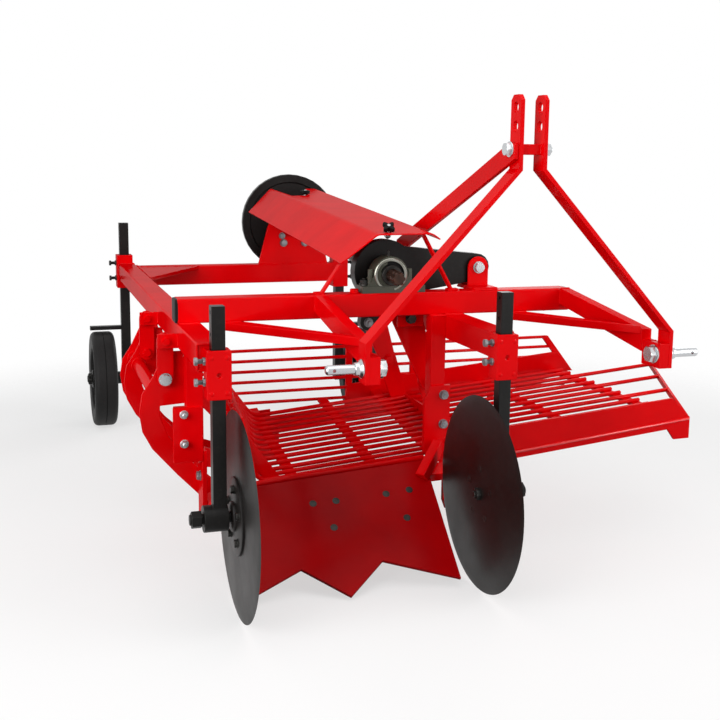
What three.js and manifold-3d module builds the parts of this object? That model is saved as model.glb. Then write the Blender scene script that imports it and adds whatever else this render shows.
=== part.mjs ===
// A three-point mounted potato digger with a shaking side-discharge sieve, as a three.js scene.
// Millimetres, +Z up. The tractor is on the -Y side. Right and left are those of the driver, so right is -X.
// Y = 0 is the front face of the main beam, X = 0 the middle of the hitch and Z = 0 the ground.
import * as THREE from "three";
import { mergeVertices } from "three/addons/utils/BufferGeometryUtils.js";
import Module from "manifold-3d";

const wasm = await Module();
wasm.setup();

// ---------------------------------------------------------------- driving dimensions
const GAP = 0.3; // between pieces that touch
const TUBE = 60; // square tube of the main frame
const BEAM = { x0: -748, x1: 312, z0: 623 };
BEAM.z1 = BEAM.z0 + TUBE;
const SIDE = { front: -292, z0: BEAM.z0 - TUBE, z1: BEAM.z0 - GAP, rightEnd: 1540, leftX: -55, leftEnd: 390 };
const REAR = { y0: 1403, y1: 1463, z0: 553, x1: 56, gusset: 364, gussetThick: 12 };

const MAST = { halfGap: 25, thick: 10, y: -350, width: 50, bend: 1000, top: 1168, chamfer: 12 };
MAST.holes = [1140, 1098];
MAST.holeRadius = 12.5;
const LUG = { x: 380, top: 617, bottom: 529 }; // lower end of each mast flat, inner face at x
const PIN = { z: 562, radius: 11, tip: 475, collar: 409, nutInner: 340, collarRadius: 18, nutRadius: 17 };
const ARM_PLATE = { x0: 355, x1: 379.7, rear: -300, front: -375, z0: 529, z1: 590 };

const SHANK = { side: 30, bottom: 225, rightX: -707, rightTop: 709, leftX: -30, leftTop: 720 };
const DISC = { radius: 236, flange: 88, flangeThick: 8, hub: 34, rightX: -665, leftX: -80 };
const AXLE = { radius: 12, bore: 12.6 };

const WHEEL = { radius: 180, width: 85, rim: 118, axle: 14, bore: 14.6, shank: 34, top: 774, low: 158 };
WHEEL.right = { x: -812.5, shankX: -723.5, y: 1570 };
WHEEL.left = { x: 180, shankX: 86, y: 1433 };

const SHARE = { slope: Math.tan(THREE.MathUtils.degToRad(40)), tilt: 0.05, front: -306 };
SHARE.midX = -345;
SHARE.thick = 10;
SHARE.lift = 14; // height of the top face over a tip, so that the tip's underside is on the ground

const SIEVE = { rod: 6, tilt: 0.0925, pitch: 50, front: -60, rear: 520, sheet: 8 };
SIEVE.left = {
  x1: -6, count: 14, climb: 0.135,
  y: (i) => (i < 3 ? 12 + 28 * i : 103 + 33.8 * (i - 3)), // closer in front of the first hanger's ear
  z: (x, y) => 250 + SIEVE.tilt * (x + 98) + SIEVE.left.climb * (y - 12),
  knee: (y) => -470 - 0.18 * (454 - y), // where a rod bends up: further out towards the front
};
SIEVE.right = { x0: -6, x1: 558, y0: -30, count: 11, z: (x) => 355 - SIEVE.tilt * (555 - x) };
SIEVE.bend = { x: -600, rise: 174 };
const RIBS = { front: 20, mid: 400, rear: 512, thick: 8, tube: [-800, 450] };

const HANGER = { top: [-131, 610], foot: [-65, 431], thick: 10, frontY: 66, rearY: 402, stud: 9, bore: 9.6 };
const LINK = { top: [-777, 583], foot: [-778, 487], thick: 8, radius: 20, frontY: 6, rearY: 386 };

const DRIVE = { radius: 17.5 };
DRIVE.front = new THREE.Vector3(-206, -75, 727);
DRIVE.rear = new THREE.Vector3(-97, 1516, 778);
const FLYWHEEL = { radius: 183, thick: 30, fromEnd: 38, hub: 40 };
const CLEVIS = { x: 65, z: 739, bolt: 10, ear: 7, y0: 54, y1: 116 };
const ROCKER = { y0: 66, y1: 104, ring: 84, arm: 70, end: 36, bore: 31, tail: [-238, 598], x: -195, z: 732 };

// ---------------------------------------------------------------- materials
function paint(color, roughness, metalness) {
  return new THREE.MeshStandardMaterial({ color, roughness, metalness });
}

const RED = paint(0xd4080c, 0.32, 0.1);
const BLACK = paint(0x1c1b1b, 0.55, 0.2);
const RUBBER = paint(0x191919, 0.85, 0.0);
const BLADE = paint(0x2b2625, 0.5, 0.6);
const ZINC = paint(0xb9bbbd, 0.3, 1.0);
const CAST = paint(0x6e6f5c, 0.6, 0.4);
const STEEL = paint(0x6b4a3a, 0.5, 0.8);

// ---------------------------------------------------------------- solids
/** A closed geometry as a manifold-3d solid that faces outwards. */
function solid(geometry) {
  const bare = geometry.clone();
  bare.deleteAttribute("normal");
  bare.deleteAttribute("uv");
  const welded = mergeVertices(bare, 1e-4);
  const vertProperties = new Float32Array(welded.attributes.position.array);
  const triVerts = new Uint32Array(welded.index.array);
  const build = () => new wasm.Manifold(new wasm.Mesh({ numProp: 3, vertProperties, triVerts }));
  const made = build();
  if (made.volume() >= 0) return made;
  triVerts.reverse();
  return build();
}

/** The solid as an indexed three.js geometry. */
function geometryOf(made) {
  const mesh = made.getMesh();
  const points = new Float32Array(mesh.numVert * 3);
  for (let i = 0; i < mesh.numVert; i++) {
    points.set(mesh.vertProperties.subarray(i * mesh.numProp, i * mesh.numProp + 3), i * 3);
  }
  const geometry = new THREE.BufferGeometry();
  geometry.setAttribute("position", new THREE.BufferAttribute(points, 3));
  geometry.setIndex(new THREE.BufferAttribute(mesh.triVerts, 1));
  geometry.computeVertexNormals();
  return geometry;
}

const join = (...pieces) => pieces.flat().reduce((whole, piece) => whole.add(piece));
const cut = (whole, ...tools) => tools.flat().reduce((rest, tool) => rest.subtract(tool), whole);

/** A box between two values on each axis. */
function box([x0, x1], [y0, y1], [z0, z1]) {
  const geometry = new THREE.BoxGeometry(x1 - x0, y1 - y0, z1 - z0);
  return solid(geometry.translate((x0 + x1) / 2, (y0 + y1) / 2, (z0 + z1) / 2));
}

/** A box given by its middle and its size. */
function block([x, y, z], [dx, dy, dz]) {
  return box([x - dx / 2, x + dx / 2], [y - dy / 2, y + dy / 2], [z - dz / 2, z + dz / 2]);
}

/** Turns +Y to the direction from a to b and moves the origin to a. */
function along(geometry, a, b) {
  const from = new THREE.Vector3(...a);
  const way = new THREE.Vector3(...b).sub(from).normalize();
  const turn = new THREE.Quaternion().setFromUnitVectors(new THREE.Vector3(0, 1, 0), way);
  return geometry.applyQuaternion(turn).translate(from.x, from.y, from.z);
}

/** A round bar from a to b. */
function rod(a, b, radius, sides = 16) {
  const length = new THREE.Vector3(...a).distanceTo(new THREE.Vector3(...b));
  const geometry = new THREE.CylinderGeometry(radius, radius, length, sides).translate(0, length / 2, 0);
  return solid(along(geometry, a, b));
}

/** A turned piece: profile of [radius, height] points about the line from a towards b. */
function turned(profile, a, b, sides = 32) {
  const points = profile.map(([r, h]) => new THREE.Vector2(r, h));
  return solid(along(new THREE.LatheGeometry(points, sides), a, b));
}

const shapeOf = (outline) => new THREE.Shape(outline.map(([u, v]) => new THREE.Vector2(u, v)));

/** A plate of uniform thickness: its outline is (y, z), (x, z) or (x, y) for an axis of x, y or z. */
function plate(axis, outline, from, to, holes = []) {
  const shape = shapeOf(outline);
  for (const hole of holes) shape.holes.push(shapeOf(hole));
  const geometry = new THREE.ExtrudeGeometry(shape, { depth: to - from, bevelEnabled: false });
  const toWorld = new THREE.Matrix4();
  if (axis === "x") toWorld.set(0, 0, 1, from, 1, 0, 0, 0, 0, 1, 0, 0, 0, 0, 0, 1);
  if (axis === "y") toWorld.set(1, 0, 0, 0, 0, 0, -1, to, 0, 1, 0, 0, 0, 0, 0, 1);
  if (axis === "z") toWorld.makeTranslation(0, 0, from);
  return solid(geometry.applyMatrix4(toWorld));
}

/** Points of a circle arc, angles in degrees. */
function arc([u, v], radius, from, to, steps) {
  return Array.from({ length: steps + 1 }, (_, i) => {
    const angle = THREE.MathUtils.degToRad(from + ((to - from) * i) / steps);
    return [u + radius * Math.cos(angle), v + radius * Math.sin(angle)];
  });
}

/** A strip of uniform thickness along a path in a plane, to the left of the path. */
function strip(path, thick) {
  const left = path.map(([u, v], i) => {
    const before = path[Math.max(i - 1, 0)];
    const after = path[Math.min(i + 1, path.length - 1)];
    const ends = [[before, [u, v]], [[u, v], after]].filter(([a, b]) => a[0] !== b[0] || a[1] !== b[1]);
    const normals = ends.map(([a, b]) => new THREE.Vector2(a[1] - b[1], b[0] - a[0]).normalize());
    const mean = normals.reduce((sum, n) => sum.add(n), new THREE.Vector2()).normalize();
    const reach = thick / mean.dot(normals[normals.length - 1].clone().normalize());
    return [u + mean.x * reach, v + mean.y * reach];
  });
  return [...path, ...left.reverse()];
}

/** A solid between two four-sided sections, whose corners are listed in the same order. */
function prismoid(near, far) {
  const points = [...near, ...far].flat();
  const quads = [[0, 1, 2, 3], [7, 6, 5, 4], [0, 4, 5, 1], [1, 5, 6, 2], [2, 6, 7, 3], [3, 7, 4, 0]];
  const geometry = new THREE.BufferGeometry();
  geometry.setAttribute("position", new THREE.BufferAttribute(new Float32Array(points), 3));
  geometry.setIndex(quads.flatMap(([a, b, c, d]) => [a, c, b, a, d, c]));
  return solid(geometry);
}

/** Four corners of an upright section at one y. */
const section = ([x0, x1], y, [z0, z1]) => [[x0, y, z0], [x1, y, z0], [x1, y, z1], [x0, y, z1]];

/** A flat link in an XZ plane with a round end about each of two centres. */
function link([ax, az], [bx, bz], ra, rb, y0, y1) {
  const heading = THREE.MathUtils.radToDeg(Math.atan2(bz - az, bx - ax));
  const start = arc([ax, az], ra, heading + 90, heading + 270, 8);
  const end = arc([bx, bz], rb, heading - 90, heading + 90, 8);
  return plate("y", [...start, ...end], y0, y1);
}

// ---------------------------------------------------------------- the scene graph
const group = new THREE.Group();

/** Adds one named piece to the object. */
function add(name, made, material, parent = group) {
  const mesh = new THREE.Mesh(geometryOf(made), material);
  mesh.name = name;
  parent.add(mesh);
}

const SIDES = [{ name: "right", sign: -1 }, { name: "left", sign: 1 }];

// ---------------------------------------------------------------- frame
function buildFrame() {
  add("main_beam", box([BEAM.x0, BEAM.x1], [0, TUBE], [BEAM.z0, BEAM.z1]), RED);
  const rightTube = box([BEAM.x0, BEAM.x0 + TUBE], [SIDE.front, SIDE.rightEnd], [SIDE.z0, SIDE.z1]);
  add("side_beam_right", join(rightTube, linkLug(LINK.frontY), linkLug(LINK.rearY)), RED);
  const leftTube = box([SIDE.leftX, SIDE.leftX + TUBE], [SIDE.front, SIDE.leftEnd], [SIDE.z0, SIDE.z1]);
  add("side_beam_left", join(leftTube, rearHangerLug()), RED);
  const inner = BEAM.x0 + TUBE + GAP;
  add("rear_beam", box([inner, REAR.x1], [REAR.y0, REAR.y1], [REAR.z0, SIDE.z1]), RED);
  const corner = [[inner, REAR.y0 - GAP], [inner, REAR.y0 - REAR.gusset], [inner + 222, REAR.y0 - GAP]];
  add("corner_gusset", plate("z", corner, SIDE.z1 - REAR.gussetThick, SIDE.z1), RED);
}

// ---------------------------------------------------------------- three-point hitch
function mastFlat(sign) {
  const inner = [
    [sign * MAST.halfGap, MAST.top],
    [sign * MAST.halfGap, MAST.bend],
    [sign * LUG.x, LUG.top],
    [sign * LUG.x, LUG.bottom],
  ];
  const y0 = MAST.y - MAST.width / 2;
  const y1 = MAST.y + MAST.width / 2;
  const path = sign > 0 ? inner : inner.slice().reverse();
  const flat = plate("y", strip(path, MAST.thick), y0, y1);
  const c = MAST.chamfer;
  const corner = (y, way) => {
    const outline = [[y, MAST.top - c], [y, MAST.top + 1], [y + way * (c + 1), MAST.top + 1]];
    return plate("x", outline, -60, 60);
  };
  const holes = MAST.holes.map((z) => rod([-60, MAST.y, z], [60, MAST.y, z], MAST.holeRadius));
  const pinWay = [LUG.x - 8, LUG.x + 20].map((x) => [sign * x, MAST.y, PIN.z]);
  const pinHole = rod(...pinWay, PIN.radius + 0.6);
  return cut(flat, corner(y0, 1), corner(y1, -1), holes, pinHole);
}

function hitchArm(sign) {
  const beamEnd = sign < 0 ? [-403, -373] : [282, 312];
  const frontEnd = sign < 0 ? [-378, -350] : [350, 378];
  const tube = prismoid(section(beamEnd, -GAP, [640, 683]), section(frontEnd, ARM_PLATE.rear, [560, 615]));
  const xs = [sign * ARM_PLATE.x0, sign * ARM_PLATE.x1].sort((a, b) => a - b);
  const tongue = box(xs, [ARM_PLATE.front, ARM_PLATE.rear + 4], [ARM_PLATE.z0, ARM_PLATE.z1]);
  const hole = rod([xs[0] - 5, MAST.y, PIN.z], [xs[1] + 5, MAST.y, PIN.z], PIN.radius + 0.6);
  return cut(join(tube, tongue), hole);
}

function hitchPin(sign) {
  const r = PIN.radius;
  const inner = LUG.x + MAST.thick + GAP;
  const profile = [
    [0, 0], [PIN.nutRadius, 0], [PIN.nutRadius, ARM_PLATE.x0 - GAP - PIN.nutInner],
    [r, ARM_PLATE.x0 - GAP - PIN.nutInner], [r, inner - PIN.nutInner],
    [PIN.collarRadius, inner - PIN.nutInner], [PIN.collarRadius, inner + 7 - PIN.nutInner],
    [r, PIN.collar - PIN.nutInner], [r, PIN.tip - 4 - PIN.nutInner], [r - 4, PIN.tip - PIN.nutInner],
    [0, PIN.tip - PIN.nutInner],
  ];
  return turned(profile, [sign * PIN.nutInner, MAST.y, PIN.z], [sign * PIN.tip, MAST.y, PIN.z], 24);
}

function buildHitch() {
  for (const { name, sign } of SIDES) {
    add("mast_flat_" + name, mastFlat(sign), RED);
    add("hitch_arm_" + name, hitchArm(sign), RED);
    add("hitch_pin_" + name, hitchPin(sign), ZINC);
  }
  const half = MAST.halfGap - GAP;
  add("mast_spacer", block([0, MAST.y, 1047], [2 * half, 24, 24]), RED);
  const braceZ = [SIDE.z1 - 20, SIDE.z1];
  const right = [[-660, 30], [-600, 30], [-381.6, -262], [-379.6, -298]];
  add("hitch_brace_right", plate("z", right, ...braceZ), RED);
  const left = [[110, 30], [110 + TUBE, 30], [340.6, -262], [348.6, -298]];
  add("hitch_brace_left", plate("z", left, ...braceZ), RED);
  add("mast_brace", mastBrace(), RED);
}

/** Flat from the mast back to a post on the left side beam. */
function mastBrace() {
  const x1 = -MAST.halfGap - MAST.thick - GAP;
  const high = [-350, 1038];
  const low = [398, 766];
  const half = 23;
  const outline = [
    [high[0] - 22, high[1] + half], [high[0] - 22, high[1] - half + 10],
    [low[0], low[1] - half], [low[0], low[1] + half], [high[0] + 10, high[1] + half],
  ];
  const flat = plate("x", outline, x1 - 11, x1);
  const post = box([x1 - 11, x1 + 12], [368, low[0]], [BEAM.z0, low[1] - 12]);
  return join(flat, post);
}

// ---------------------------------------------------------------- coulter discs and depth wheels
function clamp([x, y, z], [dx, dy, dz], side) {
  return cut(block([x, y, z], [dx, dy, dz]), block([x, y, z], [side + 2 * GAP, side + 2 * GAP, dz + 20]));
}

function buildCoulters() {
  for (const { name, sign } of SIDES) {
    const shankX = sign < 0 ? SHANK.rightX : SHANK.leftX;
    const top = sign < 0 ? SHANK.rightTop : SHANK.leftTop;
    const discX = sign < 0 ? DISC.rightX : DISC.leftX;
    const inward = -sign; // on the right the disc is on the +X side of its shank, on the left on the -X side
    const half = SHANK.side / 2;
    const clampZ = sign < 0 ? 560 : 568;
    const clampY = SIDE.front - GAP - 23;
    const jaw = clamp([shankX, clampY, clampZ], [54, 46, 108], SHANK.side);
    add("disc_clamp_" + name, jaw, RED);
    const centre = (x) => [x, clampY, DISC.radius];
    const bar = box([shankX - half, shankX + half], [clampY - half, clampY + half], [SHANK.bottom, top]);
    const boss = rod(centre(shankX - inward * 36), centre(shankX + inward * 18), 30, 20);
    const stub = rod(centre(shankX - inward * 66), centre(discX + inward * 14), AXLE.radius, 16);
    const nut = rod(centre(shankX - inward * 62), centre(shankX - inward * 40), 20, 6);
    add("disc_shank_" + name, join(bar, boss, stub, nut), BLACK);
    const discProfile = [
      [AXLE.bore, 0], [DISC.hub, 0], [DISC.hub, 8], [DISC.flange, 8], [DISC.flange, 8 + DISC.flangeThick],
      [DISC.radius - 14, 8 + DISC.flangeThick], [DISC.radius, 11 + DISC.flangeThick],
      [DISC.radius - 14, 14 + DISC.flangeThick], [AXLE.bore, 14 + DISC.flangeThick], [AXLE.bore, 0],
    ];
    const back = discX - inward * (14 + DISC.flangeThick);
    add("coulter_disc_" + name, turned(discProfile, centre(back), centre(back + inward), 36), BLADE);
  }
}

function buildWheels() {
  for (const { name, sign } of SIDES) {
    const wheel = WHEEL[name];
    const half = WHEEL.shank / 2;
    const across = [wheel.shankX - half, wheel.shankX + half];
    const bar = box(across, [wheel.y - half, wheel.y + half], [WHEEL.low, WHEEL.top]);
    const at = (x) => [x, wheel.y, WHEEL.radius];
    const hubFace = wheel.x + (sign * WHEEL.width) / 2;
    const axle = rod(at(wheel.shankX), at(hubFace + sign * 14), WHEEL.axle, 16);
    const collar = rod(at(wheel.shankX), at(wheel.x - sign * (WHEEL.width / 2 + 2)), 24, 16);
    const nut = rod(at(hubFace + sign * 2), at(hubFace + sign * 12), 22, 6);
    const scraper = block([wheel.shankX + sign * (half + 57), wheel.y, 376], [118, 26, 14]);
    add("wheel_shank_" + name, join(bar, axle, collar, nut, scraper), BLACK);
    const clampMiddle = [wheel.shankX, wheel.y, 592];
    add("wheel_clamp_" + name, clamp(clampMiddle, [59, 59, 124], WHEEL.shank), RED);
    const w = WHEEL.width;
    const tyre = [
      [WHEEL.rim, 6], [WHEEL.radius - 14, 0], [WHEEL.radius - 3, 5], [WHEEL.radius, 16],
      [WHEEL.radius, w - 16], [WHEEL.radius - 3, w - 5], [WHEEL.radius - 14, w], [WHEEL.rim, w - 6],
      [WHEEL.rim, 6],
    ];
    const start = at(wheel.x - w / 2);
    const end = at(wheel.x + w / 2);
    add("wheel_tyre_" + name, turned(tyre, start, end, 32), RUBBER);
    const rim = [
      [WHEEL.bore, 2], [34, 2], [34, 30], [WHEEL.rim - 10, 30], [WHEEL.rim - 10, 12], [WHEEL.rim - GAP, 12],
      [WHEEL.rim - GAP, w - 12], [WHEEL.rim - 10, w - 12], [WHEEL.rim - 10, w - 30], [34, w - 30],
      [34, w - 2],
      [WHEEL.bore, w - 2], [WHEEL.bore, 2],
    ];
    add("wheel_rim_" + name, turned(rim, start, end, 32), BLACK);
  }
}

// ---------------------------------------------------------------- share and its legs
/** Height of the share's top face. */
const shareZ = (x, y) => SHARE.slope * (y - SHARE.front) + SHARE.tilt * (x - SHARE.midX) + SHARE.lift;

/** A slab that follows the share: an (x, y) outline, between two depths below the top face. */
function slab(outline, depth0, depth1) {
  const normal = new THREE.Vector3(-SHARE.tilt, -SHARE.slope, 1).normalize();
  const under = ([x, y], depth) => new THREE.Vector3(x, y, shareZ(x, y)).addScaledVector(normal, -depth);
  const side = (depth) => outline.map((corner) => under(corner, depth));
  const points = [...side(depth0), ...side(depth1)];
  const n = outline.length;
  const faces = THREE.ShapeUtils.triangulateShape(outline.map(([x, y]) => new THREE.Vector2(x, y)), []);
  const index = faces.flatMap(([a, b, c]) => [a, b, c, c + n, b + n, a + n]);
  for (let i = 0; i < n; i++) {
    const j = (i + 1) % n;
    index.push(i, i + n, j, j, i + n, j + n);
  }
  const geometry = new THREE.BufferGeometry();
  const values = new Float32Array(points.flatMap((point) => point.toArray()));
  geometry.setAttribute("position", new THREE.BufferAttribute(values, 3));
  geometry.setIndex(index);
  return solid(geometry);
}

function buildShare() {
  const blade = [
    [-645, -60], [-645, -284], [-630, -278], [-499, -238], [-395, -306], [-298, -246], [-118, -306],
    [-116, -90],
    [-112, -34], [-300, -38], [-566, -44],
  ];
  add("share", slab(blade, 0, SHARE.thick), RED);
  const across = [[-690, -74], [-60, -74], [-60, -46], [-690, -46]];
  const carrier = slab(across, SHARE.thick + GAP, SHARE.thick + 34);
  add("share_carrier", carrier, RED);
  const tube = box([-737, -697], [-60, -20], [300, SIDE.z0 - GAP]);
  const cheek = plate("x", [[-66, 320], [-66, 150], [-40, 128], [0, 128], [0, 320]], -702, -690 - GAP);
  const bracket = box([-771, -700], [-68, -60], [296, 430]);
  add("share_leg_right", join(tube, cheek, bracket), RED);
  const post = box([-95, SIDE.leftX - GAP], [-20, 20], [412, SIDE.z1]);
  const webOutline = [[-114, 264], [-57, 225], [-42, 260], [-42, 440], [-95, 440], [-114, 400]];
  const web = plate("y", webOutline, -28, -16);
  const footOutline = [[-30, 128], [-30, 300], [-16, 300], [-16, 128], [-40, 110], [-66, 130], [-66, 150]];
  const foot = plate("x", footOutline, -57, -46);
  add("share_leg_left", join(post, web, foot), RED);
}

// ---------------------------------------------------------------- drive
function buildDrive() {
  const length = DRIVE.front.distanceTo(DRIVE.rear);
  const way = DRIVE.rear.clone().sub(DRIVE.front).normalize();
  const onAxis = (distance) => DRIVE.front.clone().addScaledVector(way, distance).toArray();
  const atY = (y) => onAxis((y - DRIVE.front.y) / way.y);
  add("drive_shaft", rod(DRIVE.front.toArray(), onAxis(length - GAP), DRIVE.radius, 20), STEEL);
  const back = length - FLYWHEEL.fromEnd;
  const t = FLYWHEEL.thick;
  const wheel = [
    [DRIVE.radius + 0.5, -16], [FLYWHEEL.hub, -16], [FLYWHEEL.hub, 8], [FLYWHEEL.radius - 30, 8],
    [FLYWHEEL.radius - 30, 0], [FLYWHEEL.radius, 0], [FLYWHEEL.radius, t], [FLYWHEEL.radius - 30, t],
    [FLYWHEEL.radius - 30, t - 8], [FLYWHEEL.hub, t - 8], [FLYWHEEL.hub, t], [DRIVE.radius + 0.5, t],
    [DRIVE.radius + 0.5, -16],
  ];
  add("flywheel", turned(wheel, onAxis(back), onAxis(length), 36), BLACK);

  const [bx, , bz] = atY(31);
  const base = box([-276, -106], [4, 58], [BEAM.z1 + GAP, BEAM.z1 + 18]);
  const crown = arc([bx, bz], 46, -5, 185, 16);
  const body = plate("y", [[-266, BEAM.z1 + 10], [-132, BEAM.z1 + 10], ...crown], 8, 54);
  const bore = rod(atY(-5), atY(70), DRIVE.radius + 1.2, 20);
  add("pto_bearing", cut(join(base, body), bore), CAST);

  const [px, , pz] = atY(REAR.y0 + 14);
  const floor = SIDE.z1 + GAP;
  const panel = [[-239, floor], [33, floor], [2, 764], [px + 62, 838], [px - 62, 838], [-202, 764]];
  const stand = plate("y", panel, REAR.y0 + 4, REAR.y0 + 14);
  const housing = rod([px, REAR.y0 - 14, pz], [px, REAR.y0 + 30, pz], 46, 24);
  const through = rod(atY(REAR.y0 - 40), atY(REAR.y1), DRIVE.radius + 1.6, 20);
  add("rear_bearing_plate", cut(join(stand, housing), through), RED);

  const ear = (y0) => {
    const side = arc([CLEVIS.x, CLEVIS.z], 29, 0, 180, 10);
    const low = [[CLEVIS.x - 29, BEAM.z1 + 4], [CLEVIS.x + 29, BEAM.z1 + 4]];
    return plate("y", [...low, ...side], y0, y0 + CLEVIS.ear);
  };
  const footPlate = box([CLEVIS.x - 34, CLEVIS.x + 34], [2, CLEVIS.y1], [BEAM.z1 + GAP, BEAM.z1 + 8]);
  const boltEnds = [CLEVIS.y0 - 10, CLEVIS.y1 + 10].map((y) => placed([CLEVIS.x, CLEVIS.z], y));
  const bolt = rod(...boltEnds, CLEVIS.bolt, 16);
  add("rocker_clevis", join(footPlate, ear(CLEVIS.y0), ear(CLEVIS.y1 - CLEVIS.ear), bolt), RED);

  const { y0, y1 } = ROCKER;
  const middle = [ROCKER.x, ROCKER.z];
  const arm = link(middle, [CLEVIS.x, CLEVIS.z], ROCKER.arm, ROCKER.end, y0, y1);
  const ring = rod([...[middle[0], y0], middle[1]], [middle[0], y1, middle[1]], ROCKER.ring, 32);
  const tail = link(middle, ROCKER.tail, 34, 22, y0 + 4, y1 - 4);
  const eye = rod([CLEVIS.x, y0 - 5, CLEVIS.z], [CLEVIS.x, y1 + 5, CLEVIS.z], CLEVIS.bolt + 0.8, 16);
  const mouth = rod([middle[0], y0 - 5, middle[1]], [middle[0], y1 + 5, middle[1]], ROCKER.bore, 28);
  add("drive_rocker", cut(join(ring, arm, tail), eye, mouth), BLACK);
}

/** The folded sheet over the shaft: one profile at each end. */
function buildGuard() {
  const sheet = 4;
  const front = [[-342, 765], [-245, 836], [-97, 837], [-75, 822]];
  const rear = [[-277, 821], [-194, 908], [-17, 908], [5, 893]];
  const y = { front: -20, rear: REAR.y0 };
  const inwards = [sheet, 0, 0, -sheet];
  const under = (profile) => profile.map(([x, z], i) => [x + inwards[i], z - sheet * 1.2]);
  const panels = [0, 1, 2].map((i) => {
    const quad = (profile, at) => {
      const below = under(profile);
      return [profile[i], profile[i + 1], below[i + 1], below[i]].map(([x, z]) => [x, at, z]);
    };
    return prismoid(quad(front, y.front), quad(rear, y.rear));
  });
  add("shaft_guard", join(panels), RED);
  const foot = BEAM.z1 + GAP;
  const quad = (x, z, w) => [[x, 8, z], [x + w, 8, z], [x + w, 30, z], [x, 30, z]];
  const toe = (x0, x1) => box([x0, x1], [8, 30], [foot, foot + 6]);
  const right = join(prismoid(quad(-386, foot, 7), quad(-336, 758, 7)), toe(-400, -379));
  const left = join(prismoid(quad(-30, foot, 7), quad(-113, 832, 7)), toe(-40, -10));
  add("guard_leg_right", right, RED);
  add("guard_leg_left", left, RED);
}

// ---------------------------------------------------------------- sieve and what it hangs on
/** The place (x, z) of a section, at a distance y along the machine. */
const placed = ([x, z], y) => [x, y, z];

function buildHangers() {
  const spots = [{ name: "front", y: HANGER.frontY }, { name: "rear", y: HANGER.rearY }];
  const { top, foot, thick } = HANGER;
  for (const { name, y } of spots) {
    const body = link(top, foot, 42, 24, y, y + thick);
    const bores = [top, foot].map((p) => rod(placed(p, y - 5), placed(p, y + thick + 5), HANGER.bore, 16));
    add("hanger_left_" + name, cut(body, bores), RED);
  }
  const frontLug = box([top[0] - 36, top[0] + 36], [40, 50], [top[1] - 22, SIDE.z1]);
  const frontStud = rod(placed(top, 30), placed(top, HANGER.frontY + thick + 9), HANGER.stud, 16);
  const spacer = rod(placed(top, 50), placed(top, HANGER.frontY - 1), 12, 16);
  add("hanger_lug_front", join(frontLug, frontStud, spacer), RED);
  const linkSpots = [{ name: "front", y: LINK.frontY }, { name: "rear", y: LINK.rearY }];
  for (const { name, y } of linkSpots) {
    const y1 = y + LINK.thick;
    const body = link(LINK.top, LINK.foot, LINK.radius, LINK.radius, y, y1);
    const bores = [LINK.top, LINK.foot].map((p) => rod(placed(p, y - 5), placed(p, y1 + 5), HANGER.bore, 16));
    add("link_right_" + name, cut(body, bores), RED);
  }
}

/** Plate and stud behind the left side beam, which the rear hanger swings on. */
function rearHangerLug() {
  const { top, rearY, thick, stud } = HANGER;
  const lug = box([top[0] - 36, SIDE.leftX + TUBE], [SIDE.leftEnd, SIDE.leftEnd + 8], [585, SIDE.z1]);
  const pivot = rod(placed(top, SIDE.leftEnd - 10), placed(top, rearY + thick + 9), stud, 16);
  return join(lug, pivot, rod(placed(top, SIDE.leftEnd + 2), placed(top, rearY - 1), 16, 16));
}

/** Lug and stud on the outer face of the right side beam, which one link swings on. */
function linkLug(y) {
  const [x, z] = LINK.top;
  const lug = box([x - 20, BEAM.x0], [y - 14, y - 6], [z - 18, z + 18]);
  const pivot = rod(placed(LINK.top, y - 22), placed(LINK.top, y + LINK.thick + 8), HANGER.stud, 16);
  return join(lug, pivot, rod(placed(LINK.top, y - 7), placed(LINK.top, y - 1), 15, 16));
}

/** A sieve rod of the left deck: level with the deck's slope, then bent up at its outer end. */
function bentRod(y) {
  const { x1, z, knee } = SIEVE.left;
  const x0 = knee(y);
  const past = SIEVE.rod * 0.4; // each stretch runs this far past the knee, so that the two fill it
  const tip = [SIEVE.bend.x, y, z(x0, y) + SIEVE.bend.rise];
  const slope = SIEVE.bend.rise / (SIEVE.bend.x - x0);
  const level = rod([x0 - past, y, z(x0 - past, y)], [x1, y, z(x1, y)], SIEVE.rod, 6);
  return [level, rod(tip, [x0 + past * 0.4, y, z(x0, y) + slope * past * 0.4], SIEVE.rod, 6)];
}

/** A flat under the left deck, which climbs with it. */
function climbingStrap(x, y0, y1) {
  const { z } = SIEVE.left;
  const low = SIEVE.rod + 7;
  const high = SIEVE.rod - 2;
  const at = (y) => [[x - 14, -low], [x + 14, -low], [x + 14, -high], [x - 14, -high]].map(([u, d]) => [u, y, z(u, y) + d]);
  return prismoid(at(y0), at(y1));
}

/** A flat inside the bent-up ends of the rods. */
function bendStrap(y0, y1) {
  const at = (y) => {
    const x0 = SIEVE.left.knee(y);
    const [ux, uz] = [SIEVE.bend.x - x0, SIEVE.bend.rise];
    const run = Math.hypot(ux, uz);
    const place = (along, off) => [x0 + (ux * along + uz * off) / run, y, SIEVE.left.z(x0, y) + (uz * along - ux * off) / run];
    return [place(148, 4), place(148, 13), place(176, 13), place(176, 4)];
  };
  return prismoid(at(y0), at(y1));
}

/** A flat across the rods, under a deck. */
function strap(x, z, y0, y1) {
  const half = 14;
  const lower = SIEVE.rod + 7;
  const outline = [
    [x - half, z(x - half) - lower], [x + half, z(x + half) - lower],
    [x + half, z(x + half) - SIEVE.rod + 2], [x - half, z(x - half) - SIEVE.rod + 2],
  ];
  return plate("y", outline, y0, y1);
}

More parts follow.
